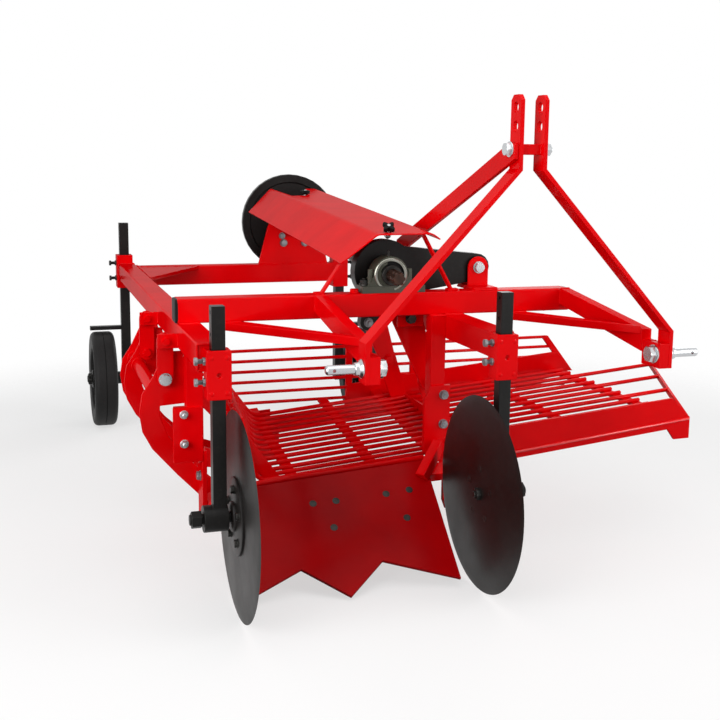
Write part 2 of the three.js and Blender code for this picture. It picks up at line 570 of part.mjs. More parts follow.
function buildSieve() {
  const { left, right, rod: r, sheet, front, rear } = SIEVE;
  const deckEnd = RIBS.rear - GAP;
  const ys = Array.from({ length: left.count }, (_, i) => left.y(i));
  const floor = join(ys.map(bentRod).flat(), [-455, -240, left.x1 - 64].map((x) => climbingStrap(x, 6, deckEnd)),
    bendStrap(6, deckEnd));
  add("sieve_floor", floor, RED);

  // the two decks meet at a plate along the machine, which also carries the studs of the hangers
  const step = box([left.x1 + 1, left.x1 + sheet], [front + sheet, deckEnd], [224, 318]);
  const lugs = [HANGER.frontY, HANGER.rearY].map((y) => {
    const y0 = y + HANGER.thick + 5;
    const [fx, fz] = HANGER.foot;
    const outline = [
      [left.x1 + 4, 262], [left.x1 + 4, 330], [fx + 26, fz + 18], ...arc([fx, fz], 26, 60, 200, 8),
      [fx - 10, 380], [fx + 20, 300],
    ];
    const ear = plate("y", outline, y0, y0 + sheet);
    return join(ear, rod(placed(HANGER.foot, y - 9), placed(HANGER.foot, y0 + 4), HANGER.stud, 16));
  });
  add("sieve_step_plate", join(step, lugs), RED);

  const reach = { 2: 686, 5: 754, 8: 822 };
  const deckYs = Array.from({ length: right.count }, (_, i) => right.y0 + i * SIEVE.pitch);
  const start = left.x1 + sheet + 1;
  const rods = deckYs.map((y, i) => {
    const x1 = reach[i] ?? right.x1;
    return rod([start, y, right.z(start)], [x1, y, right.z(x1)], r, 6);
  });
  const straps = [40, 290, right.x1 - 14].map((x) => strap(x, right.z, front + sheet, deckEnd));
  // the bar along the rods' ends: steep up from the rail's corner, then level with the deck
  const knee = section([673, 683], 52, [354, 370]);
  const edge = [
    prismoid(section([664, 674], front + sheet, [304, 320]), knee),
    prismoid(section([672.3, 682.3], 50, [353.8, 369.8]), section([829, 839], 400, [369, 385])),
  ];
  add("discharge_grid", join(rods, straps, edge), RED);

  const railTop = (x) => 316 + SIEVE.tilt * x;
  const x0 = left.x1 + GAP;
  const rail = [
    [x0, railTop(x0)], [x0, 222], [603, 284], [625, 254], [674, 255], [674, 316], [614, railTop(614)],
  ];
  add("sieve_front_rail", plate("y", rail, front, front + sheet - GAP), RED);
  const backRail = [
    [-399, 252], [-399, 200], [left.x1, 232], [600, 332], [600, 356], [558, 408], [left.x1, 354],
    [-158, 336], [-166, 270],
  ];
  add("sieve_back_rail", plate("y", backRail, RIBS.rear, rear), RED);
  add("sieve_fence", fence(rear), RED);
}

function fence(rear) {
  const y = rear + GAP + 6;
  const levels = Array.from({ length: 6 }, (_, i) => 292 + 32 * i);
  const lean = 81 / 103; // the end bar leans outwards going down
  const endX = (z) => 597 - (z - 356) * lean;
  const rods = levels.map((z) => rod([-690, y, z], [Math.min(endX(z), 597), y, z + 4], 5, 6));
  const depth = [rear + GAP, rear + 11];
  const posts = [-640, -150, 60, 330].map((x) => box([x - 10, x + 10], depth, [x < -399 ? 200 : 260, 456]));
  const endOutline = [[460, -12], [340, -12], [340, 12], [460, 12]].map(([z, off]) => [endX(z) + off, z]);
  const end = plate("y", endOutline, ...depth);
  return join(rods, posts, end);
}

function buildRibs() {
  const outer = [
    [-735, 553], [-776, 553], [-808, 488], [-834, 448], [-841, 401], [-834, 354], [-811, 310], [-751, 241],
    [-687, 174], [-640, 146], [-560, 134], [-440, 142], [-400, 168],
  ];
  const inner = [[-614, 382], [-650, 420], [-712, 480]];
  const opening = [
    [-790, 418], [-791, 392], [-772, 342], [-715, 272], [-650, 212], [-560, 180], [-512, 186], [-648, 368],
    [-700, 424],
  ];
  for (const name of ["front", "mid", "rear"]) {
    const y0 = RIBS[name];
    const lift = SIEVE.left.climb * (y0 - 12); // the inner end keeps under the climbing deck
    const end = [[-400, 206 + lift], [-470, 201 + lift], [-482, 205 + lift]];
    let rib = plate("y", [...outer, ...end, ...inner], y0, y0 + RIBS.thick, [opening]);
    if (name === "mid") {
      const tubeHole = rod(placed(RIBS.tube, y0 - 5), placed(RIBS.tube, y0 + 15), 17 + GAP, 20);
      rib = cut(rib, tubeHole);
    }
    if (name !== "rear") {
      const linkY = name === "front" ? LINK.frontY : LINK.rearY;
      rib = join(rib, rod(placed(LINK.foot, linkY - 8), placed(LINK.foot, y0 + 2), HANGER.stud, 16));
    }
    add("sieve_rib_" + name, rib, RED);
  }
  const tube = (a, b, r) => rod([RIBS.tube[0], a, RIBS.tube[1]], [RIBS.tube[0], b, RIBS.tube[1]], r, 20);
  add("rib_tube", tube(RIBS.front + RIBS.thick + GAP, RIBS.rear - GAP, 17), RED);
}

buildFrame();
buildHitch();
buildCoulters();
buildWheels();
buildShare();
buildDrive();
buildGuard();
buildHangers();
buildSieve();
buildRibs();

// The origin is the middle of the footprint, on the ground.
const bounds = new THREE.Box3().setFromObject(group);
const middle = bounds.getCenter(new THREE.Vector3());
group.position.set(-middle.x, -middle.y, -bounds.min.z);

export default group;
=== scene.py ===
"""Looks of a mounted vibrating potato digger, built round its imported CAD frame."""

import logging
from dataclasses import dataclass, field
from enum import Enum
from typing import Any, Callable, Sequence

import bmesh
import bpy
import numpy as np
from mathutils import Matrix, Vector


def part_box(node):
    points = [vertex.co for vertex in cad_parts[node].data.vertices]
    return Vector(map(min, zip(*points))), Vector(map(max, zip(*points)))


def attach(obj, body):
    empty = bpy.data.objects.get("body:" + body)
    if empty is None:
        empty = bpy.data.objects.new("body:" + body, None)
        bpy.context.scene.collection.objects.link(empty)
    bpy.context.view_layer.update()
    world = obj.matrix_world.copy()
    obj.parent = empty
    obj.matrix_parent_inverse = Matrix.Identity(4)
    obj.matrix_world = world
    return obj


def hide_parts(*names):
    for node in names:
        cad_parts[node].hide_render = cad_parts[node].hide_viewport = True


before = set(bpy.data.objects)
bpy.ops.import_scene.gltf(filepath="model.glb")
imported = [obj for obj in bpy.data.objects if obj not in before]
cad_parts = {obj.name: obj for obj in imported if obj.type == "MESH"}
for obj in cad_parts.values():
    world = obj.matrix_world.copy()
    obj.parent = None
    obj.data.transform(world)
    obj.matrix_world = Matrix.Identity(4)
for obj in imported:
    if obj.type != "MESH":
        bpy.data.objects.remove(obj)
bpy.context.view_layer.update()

LOG = logging.getLogger("digger")
Array = np.ndarray
MM = 0.001
# The drawing's zero is the main beam's front face, the hitch's middle and the ground.
BEAM_LOW = np.array(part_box("main_beam")[0])
ZERO = BEAM_LOW - np.array([-0.748, 0.0, 0.623])


def at(x: float, y: float, z: float) -> Array:
    """A place on the drawing, in millimetres, as a point of the frame in metres."""
    return np.array([x, y, z], float) * MM + ZERO


def unit(v: Sequence[float]) -> Array:
    """The vector at length one."""
    v = np.asarray(v, float)
    return v / np.linalg.norm(v)


# ---------------------------------------------------------------------------- shapes
@dataclass
class Skin:
    """Points in metres and the faces between them."""

    points: Array = field(default_factory=lambda: np.zeros((0, 3)))
    faces: list[tuple[int, ...]] = field(default_factory=list)

    def add(self, *others: "Skin") -> "Skin":
        """Adds other skins to this one.

        Args:
            others: the skins that join it.

        Returns:
            This skin.
        """
        for other in others:
            start = len(self.points)
            self.points = np.vstack([self.points, other.points])
            self.faces += [tuple(i + start for i in face) for face in other.faces]
        return self


def grid_skin(points: Array, wrap_u: bool = False, wrap_v: bool = False, caps: bool = False) -> Skin:
    """A surface S(u, v) given as points on a grid.

    Args:
        points: array of shape (rows u, columns v, 3).
        wrap_u: joins the last row to the first.
        wrap_v: joins the last column to the first.
        caps: closes the first and the last row with a face each.

    Returns:
        The skin of its cells.
    """
    nu, nv = points.shape[:2]
    u = np.arange(nu if wrap_u else nu - 1)[:, None]
    v = np.arange(nv if wrap_v else nv - 1)[None, :]
    u1, v1 = (u + 1) % nu, (v + 1) % nv
    cells = np.stack(np.broadcast_arrays(u * nv + v, u * nv + v1, u1 * nv + v1, u1 * nv + v), -1)
    faces = [tuple(map(int, cell)) for cell in cells.reshape(-1, 4)]
    if caps:
        faces.append(tuple(range(nv - 1, -1, -1)))
        faces.append(tuple(range((nu - 1) * nv, nu * nv)))
    return Skin(points.reshape(-1, 3), faces)


def cross_axes(way: Array) -> tuple[Array, Array]:
    """Two unit vectors square to a direction and to each other.

    Args:
        way: the direction, at length one.

    Returns:
        The two vectors.
    """
    side = np.cross(way, [0.0, 0.0, 1.0] if abs(way[2]) < 0.9 else [0.0, 1.0, 0.0])
    side = unit(side)
    return side, np.cross(way, side)


def turned(profile: Sequence[tuple[float, float]], base: Array, way: Sequence[float], sides: int = 40) -> Skin:
    """A lathe shape: base + h * way + r * (cos t * a + sin t * b) for each profile point (r, h).

    Args:
        profile: (radius, height) in millimetres, from the axis and back to it, or a closed loop.
        base: where the height is zero.
        way: the axis direction.
        sides: points round the axis.

    Returns:
        The closed skin.
    """
    way = unit(way)
    a, b = cross_axes(way)
    t = np.linspace(0, 2 * np.pi, sides, endpoint=False)
    round_about = np.cos(t)[:, None] * a + np.sin(t)[:, None] * b
    radius, height = np.array(profile, float).T * MM
    points = base + height[:, None, None] * way + radius[:, None, None] * round_about[None]
    return grid_skin(points, wrap_v=True)


def swept(section: Array, path: Array, sizes: Array | None = None, closed: bool = False) -> Skin:
    """Carries a section along a path: P(u) + s(u) * (x * a(u) + y * b(u)), b nearest the path's own plane normal.

    Args:
        section: (n, 2) points in metres.
        path: (m, 3) points in metres.
        sizes: a factor on the section at each path point.
        closed: joins the path's end to its start.

    Returns:
        The skin, with flat ends when the path is open.
    """
    path = np.asarray(path, float)
    ways = np.roll(path, -1, 0) - np.roll(path, 1, 0) if closed else np.gradient(path, axis=0)
    ways /= np.linalg.norm(ways, axis=1)[:, None]
    spread = np.linalg.svd(ways)
    normal = spread[2][2] if spread[1][1] > 1e-4 else cross_axes(ways[0])[0]
    b = normal - ways * (ways @ normal)[:, None]
    b /= np.linalg.norm(b, axis=1)[:, None]
    a = np.cross(b, ways)
    sizes = np.ones(len(path)) if sizes is None else sizes
    across = section[None, :, :1] * a[:, None] + section[None, :, 1:] * b[:, None]
    return grid_skin(path[:, None] + sizes[:, None, None] * across, wrap_u=closed, wrap_v=True, caps=not closed)


def rounded(corners: Array, radius: float, steps: int = 6) -> Array:
    """A path with its inner corners eased: near each corner p it follows (1-t)^2 a + 2t(1-t) p + t^2 b.

    Args:
        corners: (n, 3) points in metres.
        radius: how far from the corner the curve starts and ends, in millimetres.
        steps: pieces of each curve.

    Returns:
        The (m, 3) path.
    """
    corners = np.asarray(corners, float)
    before = corners[:-2] - corners[1:-1]
    after = corners[2:] - corners[1:-1]
    a = corners[1:-1] + before / np.linalg.norm(before, axis=1)[:, None] * radius * MM
    b = corners[1:-1] + after / np.linalg.norm(after, axis=1)[:, None] * radius * MM
    t = np.linspace(0, 1, steps + 1)[None, :, None]
    curves = (1 - t) ** 2 * a[:, None] + 2 * t * (1 - t) * corners[1:-1, None] + t ** 2 * b[:, None]
    return np.vstack([corners[:1], curves.reshape(-1, corners.shape[1]), corners[-1:]])


def circle(radius: float, sides: int = 12) -> Array:
    """Points of a circle of a radius in millimetres."""
    t = np.linspace(0, 2 * np.pi, sides, endpoint=False)
    return np.stack([np.cos(t), np.sin(t)], 1) * radius * MM


def round_bar(path: Array, radius: float, sides: int = 12) -> Skin:
    """A round bar along a path, its ends chamfered by drawing the section in to 0.7 over 0.35 of the radius.

    Args:
        path: (n, 3) points in metres.
        radius: millimetres.
        sides: points round the bar.

    Returns:
        The closed skin.
    """
    path = np.asarray(path, float)
    ends = unit(path[1] - path[0]) * radius * 0.35 * MM, unit(path[-1] - path[-2]) * radius * 0.35 * MM
    full = np.vstack([path[:1], path[:1] + ends[0], path[1:-1], path[-1:] - ends[1], path[-1:]])
    sizes = np.ones(len(full))
    sizes[[0, -1]] = 0.7
    return swept(circle(radius, sides), full, sizes)


def slab(outline: Array, depth: Sequence[float]) -> Skin:
    """A flat plate: its outline in metres and the same outline moved by depth."""
    outline = np.asarray(outline, float)
    return grid_skin(np.stack([outline, outline + np.asarray(depth, float)]), wrap_v=True, caps=True)


def box_skin(low: Array, high: Array) -> Skin:
    """A box between two corners."""
    (x0, y0, z0), (x1, y1, z1) = low, high
    return slab(np.array([[x0, y0, z0], [x1, y0, z0], [x1, y1, z0], [x0, y1, z0]]), (0, 0, z1 - z0))


def hexagon(across: float, base: Array, way: Sequence[float], height: float, chamfer: float = 1.2) -> Skin:
    """A six-sided nut or head, its far corners turned off.

    Args:
        across: size across flats in millimetres.
        base: middle of the face it sits on.
        way: outwards.
        height: millimetres.
        chamfer: how far the corners are turned down, in millimetres.

    Returns:
        The closed skin.
    """
    way = unit(way)
    a, b = cross_axes(way)
    t = np.linspace(0, 2 * np.pi, 24, endpoint=False)
    flat = across / 2 / np.cos((t % (np.pi / 3)) - np.pi / 6)
    rows = [(flat, 0.0), (flat, height - chamfer), (np.minimum(flat, across * 0.5), height), (flat * 0.0, height)]
    outwards = np.cos(t)[:, None] * a + np.sin(t)[:, None] * b
    rings = [base + h * MM * way + (r * MM)[:, None] * outwards for r, h in rows]
    return grid_skin(np.array(rings), wrap_v=True).add(
        Skin(rings[0], [tuple(range(23, -1, -1))]))


def bolt(base: Array, way: Sequence[float], size: float, head: float | None = None, tail: float = 0.0,
         washer: bool = True) -> Skin:
    """A hexagon bolt head or nut on its washer, with an optional threaded end that stands out of it.

    Args:
        base: middle of the face it is tightened on.
        way: outwards.
        size: thread diameter in millimetres.
        head: height of the head; 0.65 of the size when none is given.
        tail: how far the thread stands out beyond the head.
        washer: whether a washer lies under it.

    Returns:
        The closed skins together.
    """
    way = unit(way)
    head = 0.65 * size if head is None else head
    thick = 0.17 * size if washer else 0.0
    skin = Skin()
    if washer:
        r = size * 1.05
        skin.add(turned([(0, -0.4), (r, -0.4), (r, thick * 0.7), (r - 0.5, thick), (0, thick)], base, way, 24))
    skin.add(hexagon(1.6 * size, base + way * (thick - 0.2) * MM, way, head))
    if tail:
        pitch = max(size * 0.14, 1.2)
        turns = max(int(tail / pitch), 1)
        profile = [(0.0, head)]
        for i in range(turns):
            h = head + thick + i * pitch
            profile += [(size * 0.5, h), (size * 0.5, h + pitch * 0.35), (size * 0.44, h + pitch * 0.65)]
        profile += [(size * 0.42, head + thick + tail), (0.0, head + thick + tail)]
        skin.add(turned(profile, base, way, 20))
    return skin


def weld(path: Array, radius: float = 3.2, ripple: float = 3.2) -> Skin:
    """A weld bead: a tube whose radius rises and falls like a row of overlapping scales.

    Args:
        path: its two or more corner points in metres.
        radius: bead radius in millimetres.
        ripple: length of one scale in millimetres.

    Returns:
        The closed skin.
    """
    path = np.asarray(path, float)
    steps = np.linalg.norm(np.diff(path, axis=0), axis=1)
    run = np.concatenate([[0], np.cumsum(steps)])
    s = np.linspace(0, run[-1], max(int(run[-1] / MM / ripple * 3), 6))
    fine = np.stack([np.interp(s, run, path[:, i]) for i in range(3)], 1)
    phase = (s / MM / ripple) % 1.0
    sizes = 0.86 + 0.2 * np.sqrt(np.clip(1 - phase, 0, 1)) + 0.06 * np.sin(s * 310.0)
    sizes[[0, -1]] = 0.35
    return swept(circle(radius, 8), fine, sizes)


def arc(centre: Sequence[float], radius: float, start: float, stop: float, steps: int = 12) -> Array:
    """(n, 2) points of an arc in millimetres; angles in degrees."""
    t = np.radians(np.linspace(start, stop, steps + 1))
    return np.stack([centre[0] + radius * np.cos(t), centre[1] + radius * np.sin(t)], 1)


# ---------------------------------------------------------------------------- objects
class Body(Enum):
    """The moving bodies of the frame."""

    FRAME = "frame"
    RIGHT_WHEEL = "right_wheel"
    LEFT_WHEEL = "left_wheel"
    RIGHT_DISC = "right_disc"
    LEFT_DISC = "left_disc"
    DRIVE = "drive_line"
    ROCKER = "rocker"
    FRONT_HANGER = "front_hanger"
    REAR_HANGER = "rear_hanger"
    FRONT_LINK = "front_link"
    REAR_LINK = "rear_link"
    SIEVE = "sieve"


class Slot(Enum):
    """The record's finishes."""

    RED = "red_enamel"
    BLACK = "black_paint"
    TYRE = "tyre_rubber"
    DISC = "disc_steel"
    ZINC = "zinc_plate"
    CASTING = "bearing_casting"
    SHAFT = "shaft_steel"


@dataclass
class Workshop:
    """Turns skins and CAD nodes into finished pieces, and keeps the list of them."""

    finishes: dict[Slot, bpy.types.Material]
    made: list[bpy.types.Object] = field(default_factory=list)

    def piece(self, name: str, skin: Skin, body: Body, slot: Slot, smooth: float = 35.0,
              bevel: float = 0.0, material: bpy.types.Material | None = None, stands_for: Sequence[str] = (),
              holes: Skin | None = None) -> bpy.types.Object:
        """Makes one object from a skin.

        Args:
            name: the piece's name.
            skin: its points and faces.
            body: the body it moves with.
            slot: the record's finish it stands for.
            smooth: edges flatter than this many degrees are shaded smooth.
            bevel: width of the rounding of its edges, in millimetres.
            material: a finish of its own in place of the slot's.
            stands_for: the CAD nodes it takes the place of.
            holes: closed skins to take away from it first.

        Returns:
            The finished object.
        """
        mesh = bpy.data.meshes.new(name)
        mesh.from_pydata(skin.points.tolist(), [], skin.faces)
        cleaned = bmesh.new()
        cleaned.from_mesh(mesh)
        bmesh.ops.remove_doubles(cleaned, verts=cleaned.verts, dist=2e-6)
        bmesh.ops.dissolve_degenerate(cleaned, edges=cleaned.edges, dist=1e-6)
        bmesh.ops.recalc_face_normals(cleaned, faces=cleaned.faces)
        cleaned.to_mesh(mesh)
        cleaned.free()
        if holes is not None:
            mesh = self.drilled(mesh, holes)
        made = self._finish(mesh, name, body, slot, smooth, bevel, material)
        if stands_for:
            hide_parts(*stands_for)
        return made

    def drilled(self, mesh: bpy.types.Mesh, cutter: Skin) -> bpy.types.Mesh:
        """A mesh with another shape cut out of it.

        Args:
            mesh: the closed mesh, which is used up.
            cutter: the closed skins to take away.

        Returns:
            The new mesh.
        """
        tool_mesh = bpy.data.meshes.new("cutter")
        tool_mesh.from_pydata(cutter.points.tolist(), [], cutter.faces)
        shaped = bmesh.new()
        shaped.from_mesh(tool_mesh)
        bmesh.ops.remove_doubles(shaped, verts=shaped.verts, dist=2e-6)
        bmesh.ops.recalc_face_normals(shaped, faces=shaped.faces)
        shaped.to_mesh(tool_mesh)
        shaped.free()
        tool = bpy.data.objects.new("cutter", tool_mesh)
        work = bpy.data.objects.new("work", mesh)
        for each in (tool, work):
            bpy.context.scene.collection.objects.link(each)
        drill = work.modifiers.new("drill", "BOOLEAN")
        drill.operation = "DIFFERENCE"
        drill.solver = "EXACT"
        drill.object = tool
        view_layer = bpy.context.evaluated_depsgraph_get()
        result = bpy.data.meshes.new_from_object(work.evaluated_get(view_layer))
        bpy.data.objects.remove(work)
        bpy.data.objects.remove(tool)
        bpy.data.meshes.remove(tool_mesh)
        return result

    def soften(self, node: str, body: Body, slot: Slot, bevel: float = 1.5, segments: int = 2,
               smooth: float = 35.0, material: bpy.types.Material | None = None,
               holes: Skin | None = None) -> bpy.types.Object:
        """A copy of a CAD node with its loose triangles merged and its edges rounded.

        Args:
            node: the CAD node it stands for.
            body: the body it moves with.
            slot: the record's finish.
            holes: closed skins to take away from it first.
            bevel: width of the rounding in millimetres.
            segments: steps across the rounding.
            smooth: edges flatter than this many degrees are shaded smooth.
            material: a finish of its own in place of the slot's.

        Returns:
            The finished object.
        """
        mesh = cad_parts[node].data.copy()
        cleaned = bmesh.new()
        cleaned.from_mesh(mesh)
        bmesh.ops.remove_doubles(cleaned, verts=cleaned.verts, dist=2e-5)
        bmesh.ops.dissolve_limit(cleaned, angle_limit=0.02, verts=cleaned.verts, edges=cleaned.edges)
        cleaned.to_mesh(mesh)
        cleaned.free()
        if holes is not None:
            mesh = self.drilled(mesh, holes)
        made = self._finish(mesh, node + "_skin", body, slot, smooth, bevel, material, segments)
        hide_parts(node)
        return made

    def _finish(self, mesh: bpy.types.Mesh, name: str, body: Body, slot: Slot, smooth: float, bevel: float,
                material: bpy.types.Material | None, segments: int = 2) -> bpy.types.Object:
        """Links a mesh as an object, rounds it, shades it and lets it ride.

        Args:
            mesh: the object's mesh.
            name: the piece's name.
            body: the body it moves with.
            slot: the record's finish it stands for.
            smooth: edges flatter than this many degrees are shaded smooth.
            bevel: width of the rounding in millimetres; none at zero.
            material: a finish of its own in place of the slot's.
            segments: steps across the rounding.

        Returns:
            The object.
        """
        made = bpy.data.objects.new(name, mesh)
        bpy.context.scene.collection.objects.link(made)
        mesh.materials.clear()
        mesh.materials.append(material or self.finishes[slot])
        if bevel:
            rounding = made.modifiers.new("rounding", "BEVEL")
            rounding.width = bevel * MM
            rounding.segments = segments
            rounding.limit_method = "ANGLE"
            rounding.angle_limit = np.radians(32)
            rounding.harden_normals = False
        for polygon in mesh.polygons:
            polygon.use_smooth = True
        mesh.set_sharp_from_angle(angle=np.radians(smooth))
        if bevel:
            weighted = made.modifiers.new("even normals", "WEIGHTED_NORMAL")
            weighted.keep_sharp = False
        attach(made, body.value)
        self.made.append(made)
        LOG.info("%s on %s", name, body.value)
        return made


# ---------------------------------------------------------------------------- finishes
def linear(code: str, alpha: float = 1.0) -> tuple[float, float, float, float]:
    """An sRGB hex value as a linear colour: raw / 12.92 below 0.04045, else ((raw + 0.055) / 1.055) ^ 2.4.

    Args:
        code: six hex digits.
        alpha: opacity.

    Returns:
        Red, green, blue and alpha.
    """
    raw = np.array([int(code[i:i + 2], 16) for i in (0, 2, 4)]) / 255
    low, high = raw / 12.92, ((raw + 0.055) / 1.055) ** 2.4
    r, g, b = np.where(raw <= 0.04045, low, high)
    return float(r), float(g), float(b), alpha


def add_node(tree: bpy.types.NodeTree, kind: str, links: dict[str | int, Any] | None = None,
             **settings: Any) -> bpy.types.Node:
    """Adds one shader node.

    Args:
        tree: the node tree.
        kind: the node's type name.
        links: input name or index to a value, or to the output socket that feeds it.
        settings: the node's own properties.

    Returns:
        The node.
    """
    node = tree.nodes.new(kind)
    for name, value in settings.items():
        setattr(node, name, value)
    for key, value in (links or {}).items():
        if isinstance(value, bpy.types.NodeSocket):
            tree.links.new(value, node.inputs[key])
        else:
            node.inputs[key].default_value = value
    return node


def blank(name: str) -> tuple[bpy.types.Material, bpy.types.NodeTree]:
    """An empty node material.

    Args:
        name: the material's name.

    Returns:
        The material and its node tree.
    """
    material = bpy.data.materials.new(name)
    material.use_nodes = True
    material.node_tree.nodes.clear()
    return material, material.node_tree


@dataclass(frozen=True)
class Coating:
    """A paint or bare surface: two close colours in patches, uneven gloss, fine relief and dusty wear."""

    name: str
    colour: str
    shade: str
    roughness: float
    metallic: float = 0.0
    coat: float = 0.0
    patch_mm: float = 160.0
    grain_mm: float = 1.2
    relief: float = 0.05
    uneven: float = 0.08
    gloss: float = 0.5
    dust: float = 0.0
    dust_colour: str = "8a8078"
    coat_rough: float = 0.08

    def made(self) -> bpy.types.Material:
        """The material, built once."""
        return bpy.data.materials.get(self.name) or self.build()

    def build(self) -> bpy.types.Material:
        """Builds the material.

        Returns:
            The node material.
        """
        material, tree = blank(self.name)
        where = add_node(tree, "ShaderNodeTexCoord").outputs["Object"]
        patches = add_node(tree, "ShaderNodeTexNoise", {"Vector": where, "Scale": 1000 / self.patch_mm, "Detail": 4.0,
                                                        "Roughness": 0.55})
        ramp = add_node(tree, "ShaderNodeMapRange", {0: patches.outputs["Fac"], 1: 0.35, 2: 0.65, 3: 0.0, 4: 1.0})
        colour = add_node(tree, "ShaderNodeMix", {"Factor": ramp.outputs[0], 6: linear(self.shade),
                                                  7: linear(self.colour)}, data_type="RGBA").outputs[2]
        grain = add_node(tree, "ShaderNodeTexNoise", {"Vector": where, "Scale": 1000 / self.grain_mm, "Detail": 3.0})
        if self.dust:
            spots = add_node(tree, "ShaderNodeTexNoise", {"Vector": where, "Scale": 1000 / 14.0, "Detail": 8.0,
                                                          "Roughness": 0.7})
            amount = add_node(tree, "ShaderNodeMapRange", {0: spots.outputs["Fac"], 1: 0.52, 2: 0.75, 3: 0.0,
                                                           4: self.dust})
            colour = add_node(tree, "ShaderNodeMix", {"Factor": amount.outputs[0], 6: colour,
                                                      7: linear(self.dust_colour)}, data_type="RGBA").outputs[2]
        rough = add_node(tree, "ShaderNodeMapRange", {0: patches.outputs["Fac"], 1: 0.3, 2: 0.7,
                                                      3: max(self.roughness - self.uneven, 0.02),
                                                      4: self.roughness + self.uneven})
        bump = add_node(tree, "ShaderNodeBump", {"Strength": self.relief, "Distance": self.grain_mm * MM,
                                                 "Height": grain.outputs["Fac"]})
        shader = add_node(tree, "ShaderNodeBsdfPrincipled", {
            "Base Color": colour, "Roughness": rough.outputs[0], "Metallic": self.metallic, "Normal": bump.outputs[0],
            "Coat Weight": self.coat, "Coat Roughness": self.coat_rough, "Specular IOR Level": self.gloss})
        add_node(tree, "ShaderNodeOutputMaterial", {"Surface": shader.outputs[0]})
        return material


# The frame's sprayed and baked enamel. The film flows out level over welded steel, so only a faint 2.4 mm orange
# peel is left (the real one is finer and is drawn coarser here), and broad patches where the film is thicker look
# deeper. It gives the eye a strong even red with soft, dim highlights: the gloss is in a thin clear coat alone.
RED_ENAMEL = Coating("red baked enamel", "ea0208", "dc0106", 0.34, coat=0.16, coat_rough=0.16, grain_mm=2.4,
                     relief=0.012,
                     gloss=0.0)
# The same enamel on the share's thick plate in a darker red: painted shade for the shadow that the frame above casts on
# the share. Its broader patches make it less even.
SHARE_SHADED_ENAMEL = Coating("red enamel on the share, darkened as painted shade", "c00207", "a60106", 0.36, coat=0.10, coat_rough=0.2, patch_mm=260,
                       grain_mm=2.4, relief=0.03, gloss=0.0)
# Glossier enamel on the rolled fold: its full clear coat reflects the lamps in one long bright line, and its lighter,
# pinker red than the frame's is a painted highlight along that line.
EDGE_HIGHLIGHT_ENAMEL = Coating("glossy folded edge with painted highlight", "f21a1f", "ee1218", 0.25, coat=1.0, coat_rough=0.12, relief=0.02, gloss=0.3)
# Brushed satin black on shanks, flywheel and rims: a 1 mm brush grain breaks the highlight up, with a trace of dust.
BLACK_PAINT = Coating("satin black paint", "0f0d0c", "090807", 0.40, grain_mm=1.0, relief=0.10, dust=0.03, gloss=0.2)
# Solid moulded tyres: vulcanised rubber with the mould's fine grain, matt, so it shows as dark grey and not black.
TYRE_RUBBER = Coating("moulded rubber", "121010", "0c0b0b", 0.60, grain_mm=0.8, relief=0.12, dust=0.03, gloss=0.25)
# The discs' rolled steel under its mill scale and a thin dip of black lacquer: near black with a low dull sheen.
# It is a dielectric here, because the lacquer and not the steel meets the light.
DISC_STEEL = Coating("dark rolled steel", "0f0b09", "0a0706", 0.44, metallic=0.0, grain_mm=0.8, relief=0.06, dust=0.03,
                     gloss=0.28)
# Bright zinc, electroplated on pins, bolts and nuts: pale blue-grey metal, a little cloudy, over machined steel.
ZINC_PLATE = Coating("bright zinc plate", "c9cbcd", "aeb0b3", 0.24, metallic=1.0, grain_mm=0.7, relief=0.06)
# The pillow block's sand-cast iron in olive machine paint: the sand leaves 1.6 mm pits that the paint doesn't fill.
BEARING_CASTING = Coating("olive painted cast iron", "45483a", "34362c", 0.50, metallic=0.1, grain_mm=1.6, relief=0.5)
# Bare turned steel that has begun to rust in patches of some 20 mm: dark metal where oiled, brown dust where dry.
SHAFT_STEEL = Coating("bare steel with rust", "3e271d", "21150f", 0.42, metallic=0.6, patch_mm=22, grain_mm=0.7,
                      relief=0.3, dust=0.25, dust_colour="643318")
# Injection-moulded plastic on knobs, plugs and seals: solid black with the mould's etched grain and little gloss.
PLASTIC = Coating("black moulded plastic", "0e0e0e", "0a0a0a", 0.55, grain_mm=0.6, relief=0.08, gloss=0.12)
# Bolts blackened by hot oxide and oil: a thin dark film that lets some of the steel's shine through.
DARK_BOLT = Coating("black oxide bolt steel", "3a3937", "242321", 0.42, metallic=0.85, patch_mm=18, grain_mm=0.5,
                    relief=0.1)
# Zinc plate some months old, its shine gone to a grey bloom in patches.
DULL_ZINC = Coating("dull zinc plate", "8f9093", "6c6c6e", 0.36, metallic=0.9, patch_mm=18, grain_mm=0.6, relief=0.08)
# The bearing's ground outer ring, bright from the grinder and warm with a film of grease.
WORN_STEEL = Coating("polished bearing ring", "9a9a92", "7b7a70", 0.28, metallic=1.0, patch_mm=30, grain_mm=0.6,
                     relief=0.05)


def build_finishes() -> dict[Slot, bpy.types.Material]:
    """Every slot's material.

    Returns:
        The record's slots and the material that each one shows.
    """
    return {
        Slot.RED: RED_ENAMEL.build(), Slot.BLACK: BLACK_PAINT.build(), Slot.TYRE: TYRE_RUBBER.build(),
        Slot.DISC: DISC_STEEL.build(), Slot.ZINC: ZINC_PLATE.build(), Slot.CASTING: BEARING_CASTING.build(),
        Slot.SHAFT: SHAFT_STEEL.build(),
    }


